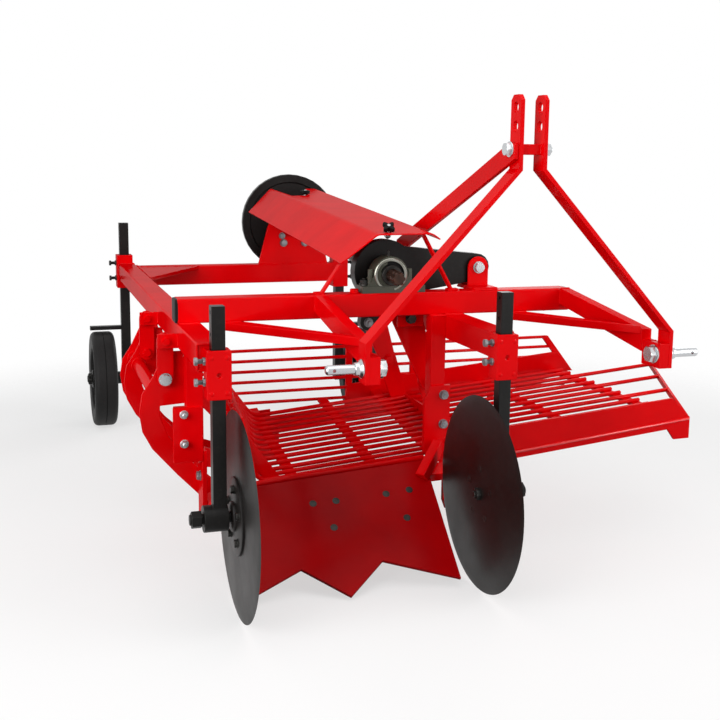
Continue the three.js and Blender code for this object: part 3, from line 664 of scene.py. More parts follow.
# ---------------------------------------------------------------------------- studio
@dataclass
class Studio:
    """Floor, lamps, world and camera."""

    eye: Array = field(default_factory=lambda: at(-1111.0, -2575.7, 1022.6))
    yaw: float = 17.81
    pitch: float = 9.07
    roll: float = 0.61
    lens: float = 53.65

    def build(self) -> None:
        """Builds all of it."""
        self.floor()
        self.lamps()
        self.world()
        self.camera()

    def floor(self) -> None:
        """A wide pale floor that shows white to the camera and keeps the soft shadow."""
        mesh = bpy.data.meshes.new("floor")
        side, z = 30.0, 0.0
        mesh.from_pydata([(-side, -side, z), (side, -side, z), (side, side, z), (-side, side, z)], [], [(0, 1, 2, 3)])
        floor = bpy.data.objects.new("floor", mesh)
        bpy.context.scene.collection.objects.link(floor)
        material, tree = blank("pale studio floor")
        where = add_node(tree, "ShaderNodeTexCoord").outputs["Object"]
        mottle = add_node(tree, "ShaderNodeTexNoise", {"Vector": where, "Scale": 1.5})
        tone = add_node(tree, "ShaderNodeMix", {"Factor": mottle.outputs["Fac"], 6: linear("f7f7f7"),
                                                7: linear("ffffff")}, data_type="RGBA")
        path = add_node(tree, "ShaderNodeLightPath").outputs
        bounced = add_node(tree, "ShaderNodeMix", {"Factor": path["Is Diffuse Ray"], 6: tone.outputs[2],
                                                   7: linear("707070")}, data_type="RGBA")
        matt = add_node(tree, "ShaderNodeBsdfDiffuse", {"Color": bounced.outputs[2]})
        glow = add_node(tree, "ShaderNodeEmission", {"Color": linear("ffffff"), "Strength": 1.0})
        seen = add_node(tree, "ShaderNodeMath", {0: path["Is Camera Ray"], 1: path["Is Glossy Ray"]},
                        operation="MAXIMUM")
        share = add_node(tree, "ShaderNodeMath", {0: seen.outputs[0], 1: 0.6}, operation="MULTIPLY")
        shader = add_node(tree, "ShaderNodeMixShader", {0: share.outputs[0], 1: matt.outputs[0], 2: glow.outputs[0]})
        away = add_node(tree, "ShaderNodeVectorMath", {0: where}, operation="LENGTH").outputs["Value"]
        fade = add_node(tree, "ShaderNodeMapRange", {0: away, 1: 1.5, 2: 2.7, 3: 0.0, 4: 1.0},
                        interpolation_type="SMOOTHSTEP")
        clear = add_node(tree, "ShaderNodeBsdfTransparent")
        both = add_node(tree, "ShaderNodeMixShader", {0: fade.outputs[0], 1: shader.outputs[0], 2: clear.outputs[0]})
        add_node(tree, "ShaderNodeOutputMaterial", {"Surface": both.outputs[0]})
        mesh.materials.append(material)

    def lamp(self, name: str, place: Array, target: Array, size: tuple[float, float], power: float) -> None:
        """One soft rectangular lamp that faces a point.

        Args:
            name: the lamp's name.
            place: where it stands, in metres.
            target: the point it faces.
            size: its two sides in metres.
            power: watts.
        """
        data = bpy.data.lights.new(name, "AREA")
        data.shape = "RECTANGLE"
        data.size, data.size_y = size
        data.energy = power
        lamp = bpy.data.objects.new(name, data)
        bpy.context.scene.collection.objects.link(lamp)
        lamp.location = Vector(place)
        lamp.rotation_euler = (Vector(target) - Vector(place)).to_track_quat("-Z", "Y").to_euler()

    def lamps(self) -> None:
        """A broad lamp above, one at each side of the camera and one behind."""
        heart = at(0, 200, 450)
        self.lamp("top", at(-300, -900, 3400), heart, (3.4, 3.4), 44)
        self.lamp("left", at(-3400, -2000, 1500), heart, (2.4, 2.4), 100)
        self.lamp("right", at(3000, -2600, 1500), heart, (2.4, 2.4), 84)
        self.lamp("rear", at(2600, 3600, 1800), heart, (2.4, 2.0), 35)

    def world(self) -> None:
        """An even pale surround, white where the camera and shiny surfaces see it."""
        world = bpy.data.worlds.new("studio")
        world.use_nodes = True
        tree = world.node_tree
        tree.nodes.clear()
        path = add_node(tree, "ShaderNodeLightPath")
        seen = add_node(tree, "ShaderNodeMath", {0: path.outputs["Is Camera Ray"], 1: path.outputs["Is Glossy Ray"]},
                        operation="MAXIMUM")
        level = add_node(tree, "ShaderNodeMapRange", {0: seen.outputs[0], 1: 0.0, 2: 1.0, 3: 0.27, 4: 1.0})
        light = add_node(tree, "ShaderNodeBackground", {"Color": linear("ffffff"), "Strength": level.outputs[0]})
        add_node(tree, "ShaderNodeOutputWorld", {"Surface": light.outputs[0]})
        bpy.context.scene.world = world

    def camera(self) -> None:
        """The camera, from its place, yaw, pitch and roll."""
        yaw, pitch, roll = np.radians([self.yaw, self.pitch, self.roll])
        view = np.array([np.sin(yaw) * np.cos(pitch), np.cos(yaw) * np.cos(pitch), -np.sin(pitch)])
        side = np.array([np.cos(yaw), -np.sin(yaw), 0.0])
        up = np.cross(side, view)
        across = np.cos(roll) * side + np.sin(roll) * up
        above = -np.sin(roll) * side + np.cos(roll) * up
        data = bpy.data.cameras.new("camera")
        data.lens = self.lens
        data.sensor_width = 36.0
        data.shift_y = -30 / 720
        data.clip_end = 200
        camera = bpy.data.objects.new("camera", data)
        bpy.context.scene.collection.objects.link(camera)
        turn = Matrix([across, above, -view]).transposed().to_4x4()
        camera.matrix_world = Matrix.Translation(Vector(self.eye)) @ turn
        bpy.context.scene.camera = camera
        bpy.context.scene.view_settings.view_transform = "Standard"


# ---------------------------------------------------------------------------- shared fittings
def loop_weld(axis: str, level: float, first: tuple[float, float], second: tuple[float, float],
              radius: float = 3.0) -> Skin:
    """Welds along the four edges of a rectangle.

    Args:
        axis: the axis square to the rectangle.
        level: the rectangle's place on it, in millimetres.
        first: its range on the first of the other axes.
        second: its range on the second.
        radius: the bead's radius.

    Returns:
        The four beads.
    """
    (a0, a1), (b0, b1) = first, second
    corners = [(a0, b0), (a1, b0), (a1, b1), (a0, b1), (a0, b0)]
    put = {"x": lambda a, b: at(level, a, b), "y": lambda a, b: at(a, level, b), "z": lambda a,
           b: at(a, b, level)}[axis]
    skin = Skin()
    for start, end in zip(corners, corners[1:]):
        skin.add(weld(np.array([put(*start), put(*end)]), radius))
    return skin


def bead(start: Sequence[float], end: Sequence[float], radius: float = 3.0) -> Skin:
    """One straight weld between two places on the drawing."""
    return weld(np.array([at(*start), at(*end)]), radius)


def bar(start: Sequence[float], end: Sequence[float], radius: float, sides: int = 16) -> Skin:
    """A plain round bar between two places on the drawing."""
    path = np.array([at(*start), at(*end)])
    return swept(circle(radius, sides), path)


def set_screw(face: Sequence[float], way: Sequence[float], size: float = 12.0, out: float = 19.0) -> Skin:
    """A clamping screw seen from outside: a welded nut on the face, the bare thread and a hexagon head on its end.

    Args:
        face: where it goes in, on the drawing.
        way: outwards.
        size: thread diameter.
        out: bare length between nut and head.

    Returns:
        The skins.
    """
    base = at(*face)
    way = unit(way)
    skin = hexagon(size * 1.5, base - way * 0.3 * MM, way, size * 0.5, 0.8)
    pitch, rows = 1.9, []
    for i in range(int(out / pitch) + 3):
        h = i * pitch
        rows += [(size * 0.5, h), (size * 0.5, h + 0.7), (size * 0.42, h + 1.25)]
    skin.add(turned([(0, 0)] + rows + [(0, rows[-1][1])], base, way, 16))
    return skin.add(hexagon(size * 1.5, base + way * (out + 2.0) * MM, way, size * 0.62))


def plain_hole(middle: Sequence[float], way: Sequence[float], radius: float, depth: float, sides: int = 20) -> Skin:
    """A round cutter from a face inwards: it starts 2 mm outside and goes in by the depth.

    Args:
        middle: the hole's middle on the face, on the drawing.
        way: outwards.
        radius: millimetres.
        depth: millimetres.
        sides: points round the hole.

    Returns:
        The cutter's skin.
    """
    way = unit(way)
    base = at(*middle) + way * 2.0 * MM
    return swept(circle(radius, sides), np.array([base, base - way * (depth + 2.0) * MM]))


# ---------------------------------------------------------------------------- sub-assemblies
@dataclass
class Frame:
    """The welded beams, their seams and the black caps in the open ends of the cross beam."""

    shop: Workshop
    tube: float = 60.0
    x0: float = -748.0
    x1: float = 312.0
    z0: float = 623.0
    z1: float = 683.0
    corner: float = 4.5

    def build(self) -> None:
        """Builds the beams, their caps and welds."""
        for node in ("main_beam", "side_beam_left", "rear_beam"):
            self.shop.soften(node, Body.FRAME, Slot.RED, self.corner, 3)
        self.side_beam()
        self.shop.soften("corner_gusset", Body.FRAME, Slot.RED, 1.2)
        self.caps()
        self.welds()

    def side_beam(self) -> None:
        """The right side beam, with the lugs and studs that the sieve's links swing on."""
        beam = box_skin(at(self.x0, -292, 563), at(self.x0 + self.tube, 1540, 622.7))
        self.shop.piece("side_beam", beam, Body.FRAME, Slot.RED, bevel=self.corner, stands_for=["side_beam_right"])
        lugs, studs = Skin(), Skin()
        for y in (6.0, 386.0):
            lugs.add(box_skin(at(-797, y - 14, 565), at(self.x0 + 1, y - 6, 601)))
            studs.add(bar((-777, y - 20, 583), (-777, y + 15, 583), 9.0),
                      bar((-777, y - 7, 583), (-777, y - 1, 583), 15.0, 24))
        self.shop.piece("link_lugs", lugs, Body.FRAME, Slot.RED, bevel=1.6)
        self.shop.piece("link_studs", studs, Body.FRAME, Slot.RED)

    def caps(self) -> None:
        """Plastic plugs: P(u, v) runs from a flat rim to a slightly domed middle over a rounded square."""
        half = self.tube / 2
        t = np.linspace(0, 2 * np.pi, 48, endpoint=False)
        power = 0.22
        square = np.stack([np.sign(np.cos(t)) * np.abs(np.cos(t)) ** power,
                           np.sign(np.sin(t)) * np.abs(np.sin(t)) ** power], 1)
        rows = [(1.0, -6.0), (1.0, 2.2), (0.97, 3.6), (0.9, 4.3), (0.6, 4.7), (0.02, 4.8)]
        for name, x, way in (("right", self.x0, -1.0), ("left", self.x1, 1.0)):
            rings = [np.stack([np.full(len(t), x + way * h), half + square[:, 0] * half * size * 0.985,
                               (self.z0 + self.z1) / 2 + square[:, 1] * half * size * 0.985], 1) for size, h in rows]
            skin = grid_skin(np.array(rings) * MM + ZERO, wrap_v=True, caps=True)
            self.shop.piece("beam_cap_" + name, skin, Body.FRAME, Slot.BLACK, smooth=50, material=PLASTIC.made())

    def welds(self) -> None:
        """Beads where the beams cross and meet."""
        seams = Skin()
        for x in (self.x0, -55.0):
            for y in (-0.5, 60.5):
                seams.add(bead((x + 4, y, 622.4), (x + 56, y, 622.4), 3.6))
        seams.add(loop_weld("x", -687.4, (1404, 1462), (554, 622)))
        seams.add(bead((-687, 1392, 621.6), (-687, 1270, 621.6), 2.6),
                  bead((-680, 1402.4, 621.8), (-480, 1402.4, 621.8), 2.6))
        seams.add(loop_weld("y", -292.1, (-747, -689), (564, 622)), loop_weld("y", -292.1, (-54, 4), (564, 622)))
        seams.add(loop_weld("y", 1540.2, (-747, -689), (564, 622)))
        seams.add(loop_weld("x", 56.1, (1404, 1462), (554, 622)))
        seams.add(loop_weld("y", 390.0, (-54, 4), (586, 621), 2.4))
        for y in (-8.0, 372.0):
            seams.add(bead((-749, y, 568), (-749, y, 600), 2.4), bead((-749, y + 8, 568), (-749, y + 8, 600), 2.4))
        self.shop.piece("frame_welds", seams, Body.FRAME, Slot.RED, smooth=60)
        specks = Skin()
        spots = np.random.default_rng(7)
        for x, y, z, r in zip(spots.uniform(-50, 300, 60), spots.uniform(-0.4, 0.2, 60), spots.normal(629, 5, 60),
                              spots.uniform(0.7, 1.6, 60)):
            specks.add(turned([(0, -0.5), (r, -0.5), (r * 0.8, r * 0.5), (0, r * 0.8)], at(x, y, max(z, 624)),
                              (0, -1, 0), 6))
        self.shop.piece("weld_specks", specks, Body.FRAME, Slot.RED, smooth=80)


@dataclass
class Hitch:
    """The mast, its braces, the lower arms and the plated lower-link pins."""

    shop: Workshop
    y: float = -350.0
    pin_z: float = 562.0
    pin_radius: float = 11.0
    inner: float = 390.3
    collar: float = 409.0
    tip: float = 475.0

    def build(self) -> None:
        """Builds both sides and the middle."""
        for side, sign in (("right", -1.0), ("left", 1.0)):
            self.shop.soften("mast_flat_" + side, Body.FRAME, Slot.RED, 1.2)
            self.shop.soften("hitch_arm_" + side, Body.FRAME, Slot.RED, 2.6, 3)
            self.shop.soften("hitch_brace_" + side, Body.FRAME, Slot.RED, 1.6)
            self.pin(side, sign)
        self.shop.soften("mast_spacer", Body.FRAME, Slot.RED, 2.0)
        self.shop.soften("mast_brace", Body.FRAME, Slot.RED, 1.4)
        self.fittings()

    def pin(self, side: str, sign: float) -> None:
        """A turned pin with a flared collar, a cross hole near its chamfered tip and a nut on its inner end.

        Args:
            side: its name.
            sign: -1 on the right, 1 on the left.
        """
        r = self.pin_radius
        n = self.inner
        profile = [(0, 352.0), (r - 2, 352.0), (r - 0.6, 353.5), (r - 0.6, n), (22, n), (22, n + 3), (20.5, n + 5),
                   (17.5, n + 7),
                   (15.5, n + 11), (14.6, self.collar - 1), (13.6, self.collar), (r, self.collar), (r, self.tip - 5),
                   (r - 1, self.tip - 2.5), (r - 4, self.tip), (0, self.tip)]
        skin = turned(profile, at(0, self.y, self.pin_z), (sign, 0, 0), 40)
        hole = bar((sign * 457, self.y - 20, self.pin_z), (sign * 457, self.y + 20, self.pin_z), 4.0, 16)
        self.shop.piece("pin_" + side, skin, Body.FRAME, Slot.ZINC, stands_for=["hitch_pin_" + side], holes=hole)
        nut = bolt(at(sign * 354.8, self.y, self.pin_z), (-sign, 0, 0), 22, head=15)
        self.shop.piece("pin_nut_" + side, nut, Body.FRAME, Slot.ZINC)

    def fittings(self) -> None:
        """The mast bolt with its nut, and the welds."""
        top = bolt(at(-46.4, self.y, 1047), (-1, 0, 0), 17,
                   head=11).add(bolt(at(35.2, self.y, 1047), (1, 0, 0), 17, head=13, tail=5))
        self.shop.piece("mast_bolt", top, Body.FRAME, Slot.ZINC)
        seams = Skin()
        seams.add(loop_weld("y", -0.2, (-402, -374), (641, 682)), loop_weld("y", -0.2, (283, 311), (641, 682)))
        for sign in (-1, 1):
            for y in (-361, -339):
                seams.add(bead((sign * 24.6, y, 1036), (sign * 24.6, y, 1058), 2.2))
            seams.add(bead((sign * 378.4, -300, 562), (sign * 378.4, -300, 588), 2.6),
                      bead((sign * 354.6, -301, 562), (sign * 354.6, -301, 588), 2.6))
            seams.add(bead((sign * 355, -324.4, 589.6), (sign * 377, -324.4, 589.6), 2.2))
        seams.add(bead((-658, 30, 602.4), (-602, 30, 602.4)), bead((112, 30, 602.4), (168, 30, 602.4)),
                  bead((-645, -0.4, 622.6), (-590, -0.4, 622.6), 2.6),
                  bead((118, -0.4, 622.6), (184, -0.4, 622.6), 2.6))
        seams.add(bead((-35, 369, 623.2), (-35, 397, 623.2)), bead((-46.6, 369, 623.2), (-46.6, 397, 623.2)),
                  bead((-46.6, 370, 752), (-46.6, 397, 755), 2.2), bead((-23.4, 369, 623.2), (-23.4, 397, 623.2)))
        self.shop.piece("hitch_welds", seams, Body.FRAME, Slot.RED, smooth=60)


@dataclass
class Coulters:
    """The two disc coulters on their square shanks, and the clamps that hold them."""

    shop: Workshop
    y: float = -315.3
    axle_z: float = 236.0
    radius: float = 236.0
    screws: dict[str, tuple[float, float]] = field(default_factory=lambda: {"right": (589, 543), "left": (601, 556)})

    def build(self) -> None:
        """Builds both sides."""
        self.side("right", -707.0, -665.0, 560.0, 709.0, -1.0, Body.RIGHT_DISC)
        self.side("left", -30.0, -80.0, 568.0, 720.0, 1.0, Body.LEFT_DISC)

    def side(self, side: str, shank_x: float, disc_x: float, clamp_z: float, top: float, sign: float,
             disc: Body) -> None:
        """One coulter.

        Args:
            side: its name.
            shank_x: the middle of its shank.
            disc_x: the middle of its blade.
            clamp_z: the middle of its clamp.
            top: the top of its shank.
            sign: -1 on the right, 1 on the left.
            disc: the body of the blade.
        """
        face = self.y - 23.0
        holes = plain_hole((shank_x, face, clamp_z), (0, -1, 0), 5.4, 7.0)
        self.shop.soften("disc_clamp_" + side, Body.FRAME, Slot.RED, 2.0, holes=holes)
        plugs = Skin()
        for dx in (-17, 17):
            for dz in (-40, 38):
                plugs.add(turned([(0, -0.4), (6, -0.4), (4.6, 0.7), (0, 1.0)], at(shank_x + dx, face, clamp_z + dz),
                                 (0, -1, 0), 14))
        self.shop.piece("clamp_plugs_" + side, plugs, Body.FRAME, Slot.RED, smooth=60)
        screws = Skin()
        for z in self.screws[side]:
            screws.add(set_screw((shank_x - 27.0, self.y, z), (-1, 0, 0), 11.0, 15.0))
        self.shop.piece("clamp_screws_" + side, screws, Body.FRAME, Slot.ZINC, material=DULL_ZINC.made())
        holes = Skin()
        for z in (top - 14, top - 62, top - 110):
            holes.add(plain_hole((shank_x - 15, self.y, z), (-1, 0, 0), 4.4, 9.0, 14))
        self.shop.soften("disc_shank_" + side, Body.FRAME, Slot.BLACK, 2.0, holes=holes)
        self.blade(side, disc_x, sign, disc)

    def blade(self, side: str, x: float, sign: float, body: Body) -> None:
        """The sharpened blade with its bolted hub.

        Args:
            side: its name.
            x: the middle of the blade.
            sign: -1 on the right, 1 on the left.
            body: the body it turns with.
        """
        inward = -sign
        back = x - inward * 14.0
        profile = [(12.6, 0), (30, 0), (33, 1.5), (34, 4), (34, 7), (40, 8), (85, 8), (88, 9.5), (88, 14), (216, 14),
                   (233, 16.4),
                   (236, 17), (233, 17.6), (216, 20), (60, 20), (12.6, 20), (12.6, 0)]
        middle = at(back, self.y, self.axle_z)
        skin = turned([(r, h - 3) if r > 0 else (r, h) for r, h in profile], middle, (inward, 0, 0), 96)
        self.shop.piece("blade_" + side, skin, body, Slot.DISC, stands_for=["coulter_disc_" + side])
        ring = Skin()
        for t in np.radians(np.arange(5) * 72 + 18):
            spot = (back, self.y + 62 * np.cos(t), self.axle_z + 62 * np.sin(t))
            ring.add(bolt(at(spot[0] + inward * 5.0, *spot[1:]), (-inward, 0, 0), 10, head=6.5))
            ring.add(turned([(0, -0.5), (9, -0.5), (8.6, 0.4), (5.4, 0.5), (5.2, -0.1), (0, -0.1)],
                            at(spot[0] + inward * 17.0, *spot[1:]), (inward, 0, 0), 16))
        self.shop.piece("blade_bolts_" + side, ring, body, Slot.DISC, material=DARK_BOLT.made())
        hub = hexagon(26, at(back + inward * 17.2, self.y, self.axle_z), (inward, 0, 0), 9)
        hub.add(turned([(0, 8), (8, 8), (8, 12.5), (6.5, 14), (0, 14)], at(back + inward * 17.2, self.y, self.axle_z),
                       (inward, 0, 0), 20))
        self.shop.piece("blade_nut_" + side, hub, body, Slot.DISC, material=DARK_BOLT.made())


@dataclass
class DepthWheels:
    """The two solid-tyred depth wheels, their shanks, scrapers and clamps."""

    shop: Workshop
    radius: float = 180.0
    width: float = 85.0
    rim: float = 118.0

    def build(self) -> None:
        """Builds both sides."""
        self.side("right", -812.5, -723.5, 1570.0, -1.0, Body.RIGHT_WHEEL)
        self.side("left", 180.0, 86.0, 1433.0, 1.0, Body.LEFT_WHEEL)

    def side(self, side: str, x: float, shank_x: float, y: float, sign: float, body: Body) -> None:
        """One wheel with what carries it.

        Args:
            side: its name.
            x: middle of the tyre.
            shank_x: middle of the shank.
            y: the wheel axis.
            sign: the side the wheel is on.
            body: the wheel's body.
        """
        holes = Skin()
        for z in range(676, 760, 40):
            holes.add(plain_hole((shank_x + sign * 17, y, z), (sign, 0, 0), 5.0, 10.0, 14))
        self.shop.soften("wheel_shank_" + side, Body.FRAME, Slot.BLACK, 2.0, holes=holes)
        self.shop.soften("wheel_clamp_" + side, Body.FRAME, Slot.RED, 2.2)
        screws = Skin()
        for z in (623, 566):
            screws.add(set_screw((shank_x + sign * 29.5, y, z), (sign, 0, 0), 12.0, 17.0))
        self.shop.piece("wheel_screws_" + side, screws, Body.FRAME, Slot.ZINC, material=DARK_BOLT.made())
        r, w = self.radius, self.width
        shoulder = arc((r - 19, 19), 19, -84, 0, 9)
        far = arc((r - 19, w - 19), 19, 0, 84, 9)
        sidewall = [(self.rim, 7), (self.rim + 3, 3.5), (self.rim + 9, 2.4), (self.rim + 12, 3.4), (r - 30, 1.0)]
        tread = [(r, w / 2 - 1.6), (r - 1.0, w / 2 - 0.8), (r, w / 2), (r - 1.0, w / 2 + 0.8), (r, w / 2 + 1.6)]
        profile = sidewall + [tuple(p) for p in shoulder] + tread + [tuple(p) for p in far]
        profile += [(a, w - h) for a, h in reversed(sidewall)] + [(self.rim, 7)]
        start = at(x - w / 2, y, self.radius)
        self.shop.piece("tyre_" + side, turned(profile, start, (1, 0, 0), 96), body, Slot.TYRE, smooth=40,
                        stands_for=["wheel_tyre_" + side])
        self.shop.soften("wheel_rim_" + side, body, Slot.BLACK, 2.0)
        ribs = Skin()
        for t in np.radians(np.arange(6) * 60.0):
            way = np.array([0, np.cos(t), np.sin(t)])
            cross = np.array([0, -np.sin(t), np.cos(t)])
            middle = at(x, y, self.radius)
            for face in (-1, 1):
                root = [middle + (way * 33 + cross * 4) * MM, middle + (way * 109 + cross * 4) * MM,
                        middle + (way * 109 - cross * 4) * MM, middle + (way * 33 - cross * 4) * MM]
                low = np.array(root) + np.array([face * 12.0, 0, 0]) * MM
                ribs.add(slab(low, (face * 14 * MM, 0, 0)))
        self.shop.piece("rim_ribs_" + side, ribs, body, Slot.BLACK, bevel=1.5)
        outer = x + sign * (w / 2 + 2)
        nut = hexagon(36, at(outer, y, self.radius), (sign, 0, 0), 12, 2.0)
        nut.add(turned([(0, 10), (13, 10), (13, 13), (11.5, 14.5), (0, 14.5)], at(outer, y, self.radius), (sign, 0, 0),
                       24))
        nut.add(turned([(14.2, -1.6), (26, -1.6), (26, 0.6), (14.2, 0.8), (14.2, -1.6)], at(outer, y, self.radius),
                       (sign, 0, 0), 30))
        self.shop.piece("axle_nut_" + side, nut, Body.FRAME, Slot.BLACK, material=DARK_BOLT.made())


@dataclass
class Share:
    """The digging share, its carrier and its two legs."""

    shop: Workshop
    slope: float = float(np.tan(np.radians(40)))
    tilt: float = 0.05
    bolts: tuple[tuple[float, float], ...] = ((-435, -106), (-376, -107), (-397, -163), (-244, -107), (-181, -105),
                                              (-208, -165))

    def height(self, x: float, y: float) -> float:
        """Height of the top face: slope * (y + 306) + tilt * (x + 345) + 14."""
        return self.slope * (y + 306) + self.tilt * (x + 345) + 14

    def build(self) -> None:
        """Builds the blade, its bolts, lip, carrier and legs."""
        for node, width in (("share", 1.4), ("share_carrier", 1.5), ("share_leg_right", 2.6), ("share_leg_left", 2.2)):
            # The share alone gets the darker enamel, which paints the shade that the frame above casts on it.
            material = SHARE_SHADED_ENAMEL.made() if node == "share" else None
            self.shop.soften(node, Body.FRAME, Slot.RED, width, material=material)
        normal = unit((-self.tilt, -self.slope, 1))
        heads = Skin()
        for x, y in self.bolts:
            profile = [(0, -0.6), (9.5, -0.6), (9.3, 0.5), (6.4, 0.8), (6.2, 0.1), (0, 0.1)]
            heads.add(turned(profile, at(x, y, self.height(x, y)), normal, 20))
            heads.add(bolt(at(x, y, self.height(x, y)) - normal * 10.2 * MM, -normal, 12, head=9, tail=4))
        self.shop.piece("share_bolts", heads, Body.FRAME, Slot.BLACK, material=DARK_BOLT.made())
        lip = [(-640, -58), (-566, -46), (-300, -40), (-116, -36)]
        path = rounded(np.array([at(x, y, self.height(x, y) + 1.0) for x, y in lip]), 14)
        self.shop.piece("share_lip", round_bar(path, 6.5, 14), Body.FRAME, Slot.RED)
        knee = np.array([at(-140, -85, 214), at(-76, -45, 292)])
        half = 14.0
        square = np.array([(-half, -half), (half, -half), (half, half), (-half, half)]) * MM
        self.shop.piece("corner_strut", swept(square, knee), Body.FRAME, Slot.RED, bevel=2.0)
        fixings = Skin()
        bright = Skin()
        for z in (414, 342):
            bright.add(bolt(at(-745, -68.2, z), (0, -1, 0), 10, head=8, tail=6))
        self.shop.piece("leg_nuts", bright, Body.FRAME, Slot.ZINC)
        fixings.add(bolt(at(-702.2, -38, 252), (-1, 0, 0), 12, head=8))
        for z in (415, 337):
            fixings.add(bolt(at(-61, -28.2, z), (0, -1, 0), 12, head=9, tail=4))
        self.shop.piece("leg_bolts", fixings, Body.FRAME, Slot.ZINC, material=DULL_ZINC.made())
        seams = loop_weld("z", 562.0, (-736, -698), (-59, -21), 2.8)
        seams.add(bead((-702.4, -64, 318), (-702.4, -22, 318), 2.4), bead((-690, -62, 172), (-690, -26, 172), 2.4))
        seams.add(loop_weld("z", 622.6, (-94, -57), (-19, -1), 2.6), bead((-94, -20.2, 414), (-58, -20.2, 414), 2.4))
        seams.add(bead((-46, -29, 262), (-46, -29, 296), 2.2))
        self.shop.piece("leg_welds", seams, Body.FRAME, Slot.RED, smooth=60)


